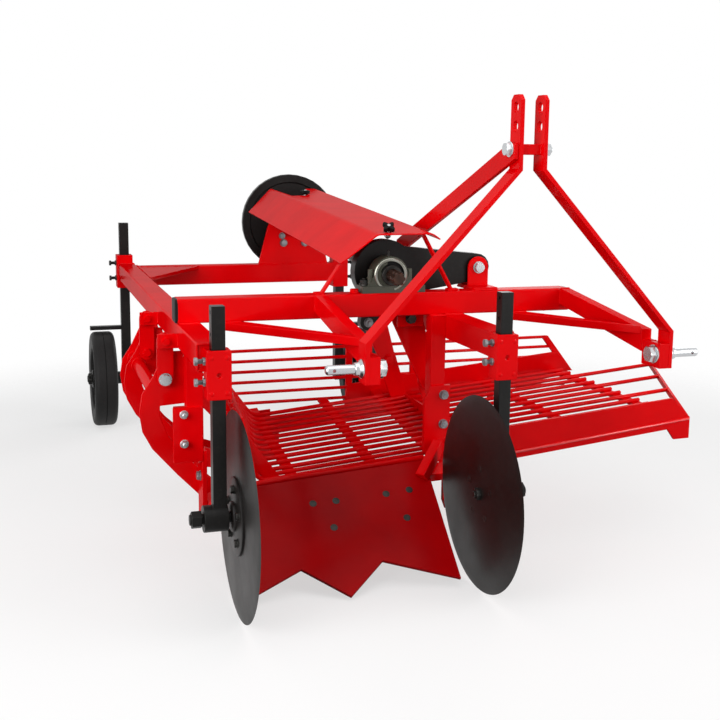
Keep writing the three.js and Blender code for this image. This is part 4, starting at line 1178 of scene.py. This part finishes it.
@dataclass
class Drive:
    """The input bearing, the shaft with its splined end, the flywheel, the rocker and its clevis."""

    shop: Workshop
    front: Array = field(default_factory=lambda: at(-206, -75, 727))
    rear: Array = field(default_factory=lambda: at(-97, 1516, 778))
    radius: float = 17.5

    @property
    def way(self) -> Array:
        """The shaft's direction."""
        return unit(self.rear - self.front)

    def on_axis(self, y: float) -> Array:
        """The point of the shaft's axis at a y of the drawing."""
        return self.front + self.way * (y + 75) * MM / self.way[1]

    def build(self) -> None:
        """Builds all of it."""
        self.shaft()
        self.bearing()
        self.flywheel()
        self.rocker()
        self.shop.soften("rear_bearing_plate", Body.FRAME, Slot.RED, 1.4)
        fixings = Skin()
        for dx in (-44, 44):
            for z in (730, 818):
                fixings.add(bolt(at(-103 + dx, 1406.9, z), (0, -1, 0), 12, head=8))
        for x in (-141, -58):
            fixings.add(bolt(at(x, 1406.9, 703), (0, -1, 0), 14, head=9))
        self.shop.piece("rear_bearing_bolts", fixings, Body.FRAME, Slot.ZINC, material=DULL_ZINC.made())
        race = turned([(19.4, -3), (24, -4.5), (29, -4.5), (30, -3), (38, -2), (44, 0), (44, 3), (19.4, 3), (19.4, -3)],
                      self.on_axis(1389), self.way, 40)
        self.shop.piece("rear_bearing_race", race, Body.FRAME, Slot.ZINC)
        seams = bead((-237, 1406.6, 623.4), (31, 1406.6, 623.4),
                     2.8).add(bead((-237, 1417.4, 623.4), (31, 1417.4, 623.4), 2.8))
        self.shop.piece("bearing_plate_welds", seams, Body.FRAME, Slot.RED, smooth=60)

    def shaft(self) -> None:
        """A six-splined stub, r(t) stepping smoothly between root and crest, then the plain shaft."""
        t = np.linspace(0, 2 * np.pi, 144, endpoint=False)
        wave = np.clip(np.cos(6 * t) * 3.2, -1, 1)
        spline = 15.6 + 1.9 * wave
        rows = [(0.0, 0.84), (3.0, 0.97), (4.5, 1.0), (16.0, 1.0), (17.5, 0.86), (24.0, 0.86), (25.5, 1.0), (66.0, 1.0),
                (70.0, 0.92)]
        a, b = cross_axes(self.way)
        outwards = np.cos(t)[:, None] * a + np.sin(t)[:, None] * b
        rings = []
        for h, size in rows:
            r = np.where(size < 0.9, np.minimum(spline, 17.5 * size), spline * size) * MM
            rings.append(self.front + self.way * h * MM + r[:, None] * outwards)
        stub = grid_skin(np.array(rings), wrap_v=True, caps=True)
        length = np.linalg.norm(self.rear - self.front) / MM
        body = turned([(0, 68), (16.6, 68), (17.5, 69.5), (17.5, length - 3), (16, length - 0.5), (0, length - 0.5)],
                      self.front, self.way, 40)
        self.shop.piece("drive_stub", stub, Body.DRIVE, Slot.SHAFT, smooth=50, stands_for=["drive_shaft"])
        self.shop.piece("drive_shaft_plain", body, Body.DRIVE, Slot.SHAFT)
        collar = turned([(17.6, 0), (25, 0), (26, 1), (26, 11), (25, 12), (17.6, 12), (17.6, 0)], self.on_axis(-10),
                        self.way, 36)
        collar.add(turned([(0, -1), (3.2, -1), (3.2, 1.2), (2.0, 1.2), (1.9, 0.2), (0, 0.2)],
                          self.on_axis(-4) + np.array([-26 * MM, 0, 0]), (-1, 0, 0), 12))
        self.shop.piece("bearing_collar", collar, Body.DRIVE, Slot.SHAFT, material=DARK_BOLT.made())
        key = bolt(self.rear + self.way * 0.2 * MM, self.way, 22, head=12, tail=2)
        self.shop.piece("flywheel_nut", key, Body.DRIVE, Slot.ZINC, material=DARK_BOLT.made())

    def bearing(self) -> None:
        """The cast pillow block with its polished outer ring, black seal, grease nipple and bolts."""
        self.shop.soften("pto_bearing", Body.FRAME, Slot.CASTING, 4.0, 3)
        front = self.on_axis(8)
        ring = turned([(35, 2), (35, -3), (36, -4.5), (41, -4.5), (43, -3), (44, 2), (35, 2)], front, self.way, 56)
        self.shop.piece("bearing_ring", ring, Body.FRAME, Slot.ZINC, material=WORN_STEEL.made())
        seal = turned([(19.2, 1), (19.2, -1.5), (27, -1.5), (28, 0.2), (35.4, 0.6), (35.4, 2), (19.2, 2), (19.2, 1)],
                      front, self.way, 48)
        self.shop.piece("bearing_seal", seal, Body.FRAME, Slot.BLACK, material=PLASTIC.made())
        studs = Skin()
        for x in (-263, -119):
            studs.add(turned([(0, -1), (13, -1), (12, 4), (0, 4)], at(x, 31, 701), (0, 0, 1), 24))
            studs.add(bolt(at(x, 31, 704.6), (0, 0, 1), 13, head=9, tail=4))
        self.shop.piece("bearing_bolts", studs, Body.FRAME, Slot.ZINC, material=DARK_BOLT.made())
        rib = box_skin(at(-259, 10, 700), at(-247, 20, 745)).add(box_skin(at(-152, 10, 700), at(-140, 20, 745)))
        self.shop.piece("bearing_ribs", rib, Body.FRAME, Slot.CASTING, bevel=3.0)
        nipple = turned([(0, -2), (4, -2), (4, 4), (2.4, 5), (2.4, 9), (3.2, 10), (3.2, 12), (1.5, 14), (0, 14)],
                        self.on_axis(31) + np.array([0, 0, 45.5 * MM]), (0, 0, 1), 16)
        self.shop.piece("grease_nipple", nipple, Body.FRAME, Slot.ZINC, material=DARK_BOLT.made())
        self.shop.piece("beam_bolt", bolt(at(-290, 31, 683.1), (0, 0, 1), 13, head=8), Body.FRAME, Slot.RED)

    def flywheel(self) -> None:
        """The flywheel with its lightening groove and a taper bush of three screws."""
        self.shop.soften("flywheel", Body.DRIVE, Slot.BLACK, 3.0, 3)
        a, b = cross_axes(self.way)
        back = self.rear
        bush = Skin()
        for t in np.radians([20, 140, 260]):
            spot = back + (np.cos(t) * a + np.sin(t) * b) * 30 * MM
            bush.add(turned([(0, -1), (5, -1), (5, 1.2), (3, 1.2), (2.8, 0), (0, 0)], spot, self.way, 14))
        self.shop.piece("flywheel_bush_screws", bush, Body.DRIVE, Slot.BLACK, material=DARK_BOLT.made())

    def rocker(self) -> None:
        """The rocker on its clevis, and the eccentric that turns in its mouth."""
        self.shop.soften("drive_rocker", Body.ROCKER, Slot.BLACK, 4.0, 3)
        self.shop.soften("rocker_clevis", Body.FRAME, Slot.RED, 1.8)
        pivot = bolt(at(65, 53.8, 739), (0, -1, 0), 15.5,
                     head=10.5).add(bolt(at(65, 116.2, 739), (0, 1, 0), 15.5, head=13, tail=3))
        self.shop.piece("clevis_bolt", pivot, Body.FRAME, Slot.ZINC)
        tail = bolt(at(-238, 69.8, 598), (0, -1, 0), 12, head=8,
                    tail=6).add(bolt(at(-238, 100.2, 598), (0, 1, 0), 12, head=10, tail=4))
        self.shop.piece("tail_bolt", tail, Body.ROCKER, Slot.ZINC, material=DULL_ZINC.made())
        middle = self.on_axis(85)
        eccentric = turned([(17.7, -14), (20, -14), (21, -13), (21, 13), (20, 14), (17.7, 14), (17.7, -14)], middle,
                           self.way, 48)
        self.shop.piece("eccentric_bush", eccentric, Body.DRIVE, Slot.SHAFT, material=DARK_BOLT.made())
        seams = loop_weld("z", 683.6, (32, 98), (3, 115), 2.6)
        self.shop.piece("clevis_welds", seams, Body.FRAME, Slot.RED, smooth=60)


@dataclass
class Guard:
    """The folded sheet over the shaft, its legs and the star knobs that hold it."""

    shop: Workshop
    sheet: float = 3.5
    front_y: float = -20.0
    rear_y: float = 1403.0
    front: tuple[tuple[float, float], ...] = ((-342, 765), (-245, 836), (-97, 837), (-75, 822))
    rear: tuple[tuple[float, float], ...] = ((-277, 821), (-194, 908), (-17, 908), (5, 893))

    def build(self) -> None:
        """Builds the sheet, legs, bracket and knobs."""
        self.cover()
        for side in ("right", "left"):
            self.shop.soften("guard_leg_" + side, Body.FRAME, Slot.RED, 1.2)
        bracket = np.array([at(-148, 1116, 886.0), at(-148, 1180, 889.0), at(-148, 1404, 836.0)])
        strap = rounded(bracket, 16)
        section = np.array([(-2, 0), (2, 0), (2, 46), (-2, 46)]) * MM
        self.shop.piece("guard_bracket", swept(section - np.array([[0, 23]]) * MM, strap + np.array([23, 0, 0]) * MM),
                        Body.FRAME, Slot.RED, bevel=0.8)
        self.knob("front", at(-205, 18, 840.5), (-0.12, -0.62, 0.9))
        self.knob("rear", at(-125, 1150, 890.2), (0, -0.05, 1))
        seams = Skin().add(bead((-379, 9, 684), (-379, 29, 684), 2.4), bead((-22.6, 9, 684), (-22.6, 29, 684), 2.4))
        self.shop.piece("guard_welds", seams, Body.FRAME, Slot.RED, smooth=60)

    def cover(self) -> None:
        """S(u, v): the eased front profile runs straight to the rear one, and the same lies under it by the sheet."""
        ends = []
        for profile, y in ((self.front, self.front_y), (self.rear, self.rear_y)):
            path = rounded(np.array(profile, float), 9 / MM, 6)
            step = np.gradient(path, axis=0)
            normal = np.stack([step[:, 1], -step[:, 0]], 1) / np.linalg.norm(step, axis=1)[:, None]
            closed = np.vstack([path, (path + normal * self.sheet)[::-1]])
            ends.append(np.stack([closed[:, 0], np.full(len(closed), y), closed[:, 1]], 1))
        skin = grid_skin(np.array(ends) * MM + ZERO, wrap_v=True, caps=True)
        notch = np.array([at(-190, 1420, 860), at(-188, 1092, 860), at(-131, 1096, 860), at(-52, 1420, 860)])
        self.shop.piece("guard_cover", skin, Body.FRAME, Slot.RED, smooth=25, bevel=0.7, stands_for=["shaft_guard"],
                        holes=slab(notch, (0, 0, 80 * MM)))

    def knob(self, name: str, base: Array, way: Sequence[float]) -> None:
        """A four-lobed moulded knob: r(t) = 13.5 + 5.5 cos 4t, drawn in at its foot and crowned on top.

        Args:
            name: front or rear.
            base: where its foot meets the sheet, in metres.
            way: outwards along its stud.
        """
        way = unit(way)
        a, b = cross_axes(way)
        t = np.linspace(0, 2 * np.pi, 64, endpoint=False) + np.pi / 4
        lobes = 13.5 + 5.5 * np.cos(4 * (t - np.pi / 4))
        rows = [(0.0, 4), (0.55, 4), (0.6, 7), (0.95, 8), (1.0, 10), (1.0, 17), (0.94, 19), (0.6, 20), (0.3, 19.6),
                (0.0, 19.6)]
        outwards = np.cos(t)[:, None] * a + np.sin(t)[:, None] * b
        rings = [base + way * h * MM + (np.minimum(lobes * size, 30) * MM)[:, None] * outwards for size, h in rows]
        self.shop.piece("knob_" + name, grid_skin(np.array(rings), wrap_v=True), Body.FRAME, Slot.BLACK, smooth=50,
                        material=PLASTIC.made())
        stud = turned([(0, -22), (4, -22), (5, -21), (5, 0), (9, 0), (9, 1.6), (6.2, 1.6), (6.2, 6), (0, 6)], base, way,
                      24)
        stud.add(hexagon(17, base - way * 9 * MM, -way, 7)).add(turned([(0, 19), (4.4, 19), (4.2, 20.6), (0, 20.8)],
                                                                       base, way, 16))
        self.shop.piece("knob_stud_" + name, stud, Body.FRAME, Slot.ZINC)


@dataclass
class Hangers:
    """The two hangers on the left and the two links on the right, with their pivots."""

    shop: Workshop
    top: tuple[float, float] = (-131.0, 610.0)
    foot: tuple[float, float] = (-65.0, 431.0)
    link_top: tuple[float, float] = (-777.0, 583.0)
    link_foot: tuple[float, float] = (-778.0, 487.0)

    def build(self) -> None:
        """Builds the arms and their bolts."""
        self.shop.soften("hanger_left_front", Body.FRONT_HANGER, Slot.RED, 1.6)
        self.shop.soften("hanger_left_rear", Body.REAR_HANGER, Slot.RED, 1.6)
        self.shop.soften("link_right_front", Body.FRONT_LINK, Slot.RED, 1.4)
        self.shop.soften("link_right_rear", Body.REAR_LINK, Slot.RED, 1.4)
        self.shop.soften("hanger_lug_front", Body.FRAME, Slot.RED, 1.2)
        (tx, tz), (fx, fz) = self.top, self.foot
        fixed = bolt(at(tx, 39.8, tz), (0, -1, 0), 14, head=10.5).add(bolt(at(tx, 76.8, tz), (0, 1, 0), 14, head=11))
        fixed.add(bolt(at(tx, 412.8, tz), (0, 1, 0), 14, head=11))
        self.shop.piece("hanger_top_bolts", fixed, Body.FRAME, Slot.BLACK, material=DARK_BOLT.made())
        moving = bolt(at(fx, 65.2, fz), (0, -1, 0), 14, head=9.5).add(bolt(at(fx, 401.2, fz), (0, -1, 0), 14, head=9.5))
        self.shop.piece("hanger_foot_bolts", moving, Body.SIEVE, Slot.RED)
        (tx, tz), (fx, fz) = self.link_top, self.link_foot
        outer = Skin()
        inner = Skin()
        painted = Skin()
        for y in (6.0, 386.0):
            outer.add(bolt(at(tx, y - 14.2, tz), (0, -1, 0), 10.5, head=7),
                      bolt(at(tx, y + 8.8, tz), (0, 1, 0), 12.5, head=9))
            (inner if y < 100 else painted).add(bolt(at(fx, y - 0.9, fz), (0, -1, 0), 15.5 if y < 100 else 12.0,
                                                     head=9.5))
        self.shop.piece("link_top_bolts", outer, Body.FRAME, Slot.RED)
        self.shop.piece("link_foot_bolts", inner, Body.SIEVE, Slot.ZINC)
        self.shop.piece("link_rear_foot_bolt", painted, Body.SIEVE, Slot.RED)


@dataclass
class Sieve:
    """The shaking sieve: both rod decks, rails, fence and the curved ribs at its outer side."""

    shop: Workshop
    rod: float = 6.0
    tilt: float = 0.0925
    climb: float = 0.135
    deck_end: float = 511.7

    def left_z(self, x: float, y: float) -> float:
        """Height of the left deck's rods: 250 + 0.0925 (x + 98) + 0.135 (y - 12)."""
        return 250 + self.tilt * (x + 98) + self.climb * (y - 12)

    def knee(self, y: float) -> float:
        """Where a rod of the left deck bends up: -470 - 0.18 (454 - y)."""
        return -470 - 0.18 * (454 - y)

    def right_z(self, x: float) -> float:
        """Height of the discharge deck's rods."""
        return 355 - self.tilt * (555 - x)

    def build(self) -> None:
        """Builds the whole sieve."""
        for node, width in (("sieve_step_plate", 1.0), ("sieve_front_rail", 1.2), ("sieve_back_rail", 1.2),
                            ("sieve_rib_front", 1.4), ("sieve_rib_mid", 1.4), ("sieve_rib_rear", 1.4),
                            ("rib_tube", 1.0)):
            self.shop.soften(node, Body.SIEVE, Slot.RED, width)
        self.left_deck()
        self.right_deck()
        self.fence()
        self.details()

    def strap(self, x: float, height: Callable[[float], float], y0: float, y1: float) -> Skin:
        """A flat 28 mm wide and 9 mm thick, 4 mm under the rods' middle line.

        Args:
            x: its middle.
            height: the rods' height at an x.
            y0: where it starts.
            y1: where it ends.

        Returns:
            The closed skin.
        """
        low = [(x - 14, height(x - 14) - 13), (x + 14, height(x + 14) - 13), (x + 14, height(x + 14) - 4),
               (x - 14, height(x - 14) - 4)]
        return slab(np.array([at(a, y0, b) for a, b in low]), (0, (y1 - y0) * MM, 0))

    def left_deck(self) -> None:
        """Fourteen rods bent up at their outer ends, on three straps that climb with them and one inside the bends."""
        rods, spots = Skin(), Skin()
        levels = [12.0 + 28 * i if i < 3 else 103 + 33.8 * (i - 3) for i in range(14)]
        marks = (-455, -240, -70)
        for y in levels:
            x0 = self.knee(y)
            path = np.array([at(-600, y, self.left_z(x0, y) + 174), at(x0, y, self.left_z(x0, y)),
                             at(-6, y, self.left_z(-6, y))])
            rods.add(round_bar(rounded(path, 34, 8), self.rod, 12))
            for x in marks:
                spots.add(bead((x - 12, y + 5.5, self.left_z(x, y) - 4.5), (x + 12, y + 5.5, self.left_z(x, y) - 3.5),
                               1.9))
        straps = Skin()
        for x in marks:
            rings = [[at(x + u, y, self.left_z(x + u, y) + d) for u, d in ((-14, -13), (14, -13), (14, -4), (-14, -4))]
                     for y in (6.0, self.deck_end)]
            straps.add(grid_skin(np.array(rings), wrap_v=True, caps=True))
        rings = []
        for y in (6.0, self.deck_end):
            x0 = self.knee(y)
            ux, uz = -600.0 - x0, 174.0
            run = float(np.hypot(ux, uz))
            rings.append([at(x0 + (ux * along + uz * off) / run, y, self.left_z(x0, y) + (uz * along - ux * off) / run)
                          for along, off in ((148, 4), (148, 13), (176, 13), (176, 4))])
        straps.add(grid_skin(np.array(rings), wrap_v=True, caps=True))
        self.shop.piece("left_deck_rods", rods, Body.SIEVE, Slot.RED, smooth=40, stands_for=["sieve_floor"])
        self.shop.piece("left_deck_straps", straps, Body.SIEVE, Slot.RED, bevel=1.2)
        self.shop.piece("left_deck_welds", spots, Body.SIEVE, Slot.RED, smooth=60)

    def right_deck(self) -> None:
        """Eleven straight rods, three of them longer, on three straps, and the slanting end edge."""
        rods, straps, spots = Skin(), Skin(), Skin()
        reach = {2: 686.0, 5: 754.0, 8: 822.0}
        for i in range(11):
            y = -30 + 50.0 * i
            x1 = reach.get(i, 558.0)
            rods.add(round_bar(np.array([at(3, y, self.right_z(3)), at(300, y, self.right_z(300)),
                                         at(x1, y, self.right_z(x1))]), self.rod, 12))
            for x in (40, 290, 544):
                spots.add(bead((x - 12, y + 5.5, self.right_z(x) - 4.5), (x + 12, y + 5.5, self.right_z(x) - 3.5), 1.9))
        for x in (40, 290, 544):
            straps.add(self.strap(x, self.right_z, -52, self.deck_end))
        ends = [(669, -52, 312), (678, 52, 362), (834, 400, 377)]
        rings = [[at(x + dx, y, z + dz) for dx, dz in ((-5, -8), (5, -8), (5, 8), (-5, 8))] for x, y, z in ends]
        edge = grid_skin(np.array(rings), wrap_v=True, caps=True)
        self.shop.piece("discharge_edge", edge, Body.SIEVE, Slot.RED, bevel=1.4)
        self.shop.piece("discharge_rods", rods, Body.SIEVE, Slot.RED, smooth=40, stands_for=["discharge_grid"])
        self.shop.piece("discharge_straps", straps, Body.SIEVE, Slot.RED, bevel=1.2)
        self.shop.piece("discharge_welds", spots, Body.SIEVE, Slot.RED, smooth=60)

    def fence(self) -> None:
        """Six rods between posts behind the decks, with a slanting end bar."""
        rods, posts, spots = Skin(), Skin(), Skin()
        y = 526.3
        lean = 81 / 103
        for i in range(6):
            z = 292 + 32.0 * i
            end = min(597 - (z - 356) * lean, 597)
            path = np.array([at(-690, y, z), at(-100, y, z + 2), at(end, y, z + 4)])
            rods.add(round_bar(path, 5, 10))
            for x in (-640, -150, 60, 330):
                if x < end:
                    spots.add(bead((x - 9, y - 1.6, z + 5.6), (x + 9, y - 1.6, z + 5.6), 1.5))
        for x in (-640, -150, 60, 330):
            posts.add(box_skin(at(x - 10, 520.3, 200 if x < -399 else 260), at(x + 10, 531, 456)))
        half = 12
        top, low = 597 - (460 - 356) * lean, 597 - (340 - 356) * lean
        posts.add(slab(np.array([at(top - half, 520.3, 460), at(low - half, 520.3, 340), at(low + half, 520.3, 340),
                                 at(top + half, 520.3, 460)]), (0, 10.7 * MM, 0)))
        self.shop.piece("fence_rods", rods, Body.SIEVE, Slot.RED, smooth=40, stands_for=["sieve_fence"])
        self.shop.piece("fence_posts", posts, Body.SIEVE, Slot.RED, bevel=1.2)
        self.shop.piece("fence_welds", spots, Body.SIEVE, Slot.RED, smooth=60)

    def details(self) -> None:
        """Welds at the ribs and rails, and the rails' bolts."""
        seams = Skin()
        ring = np.radians(np.linspace(0, 360, 25))
        for y in (28.4, 399.6, 408.4, 511.6):
            path = np.array([at(-800 + 18.5 * c, y, 450 + 18.5 * s) for c, s in zip(np.cos(ring), np.sin(ring))])
            seams.add(weld(path, 2.4))
        for y in (-52.2, 511.9):
            seams.add(bead((0, y, 232), (0, y, 312), 2.6))
        self.shop.piece("sieve_welds", seams, Body.SIEVE, Slot.RED, smooth=60)
        # The fold bar's enamel is lighter and pinker than the frame's: a painted highlight along the fold, on top of
        # its glossy coat.
        fold = np.array([at(-4, -60.2, 239), at(330, -60.2, 275), at(672, -60.2, 311.5)])
        self.shop.piece("rail_fold", round_bar(fold, 3.4, 16), Body.SIEVE, Slot.RED, smooth=50,
                        material=EDGE_HIGHLIGHT_ENAMEL.made())
        fixings = bolt(at(30, -60.2, 262), (0, -1, 0), 12, head=7)
        self.shop.piece("rail_bolts", fixings, Body.SIEVE, Slot.ZINC)


def main() -> None:
    """Builds the studio and every sub-assembly in order."""
    logging.basicConfig(level=logging.INFO, format="%(name)s: %(message)s")
    Studio().build()
    shop = Workshop(build_finishes())
    for assembly in (Frame, Hitch, Coulters, DepthWheels, Share, Drive, Guard, Hangers, Sieve):
        before = len(shop.made)
        assembly(shop).build()
        LOG.info("%s: %d pieces", assembly.__name__, len(shop.made) - before)


if __name__ == "__main__":
    main()
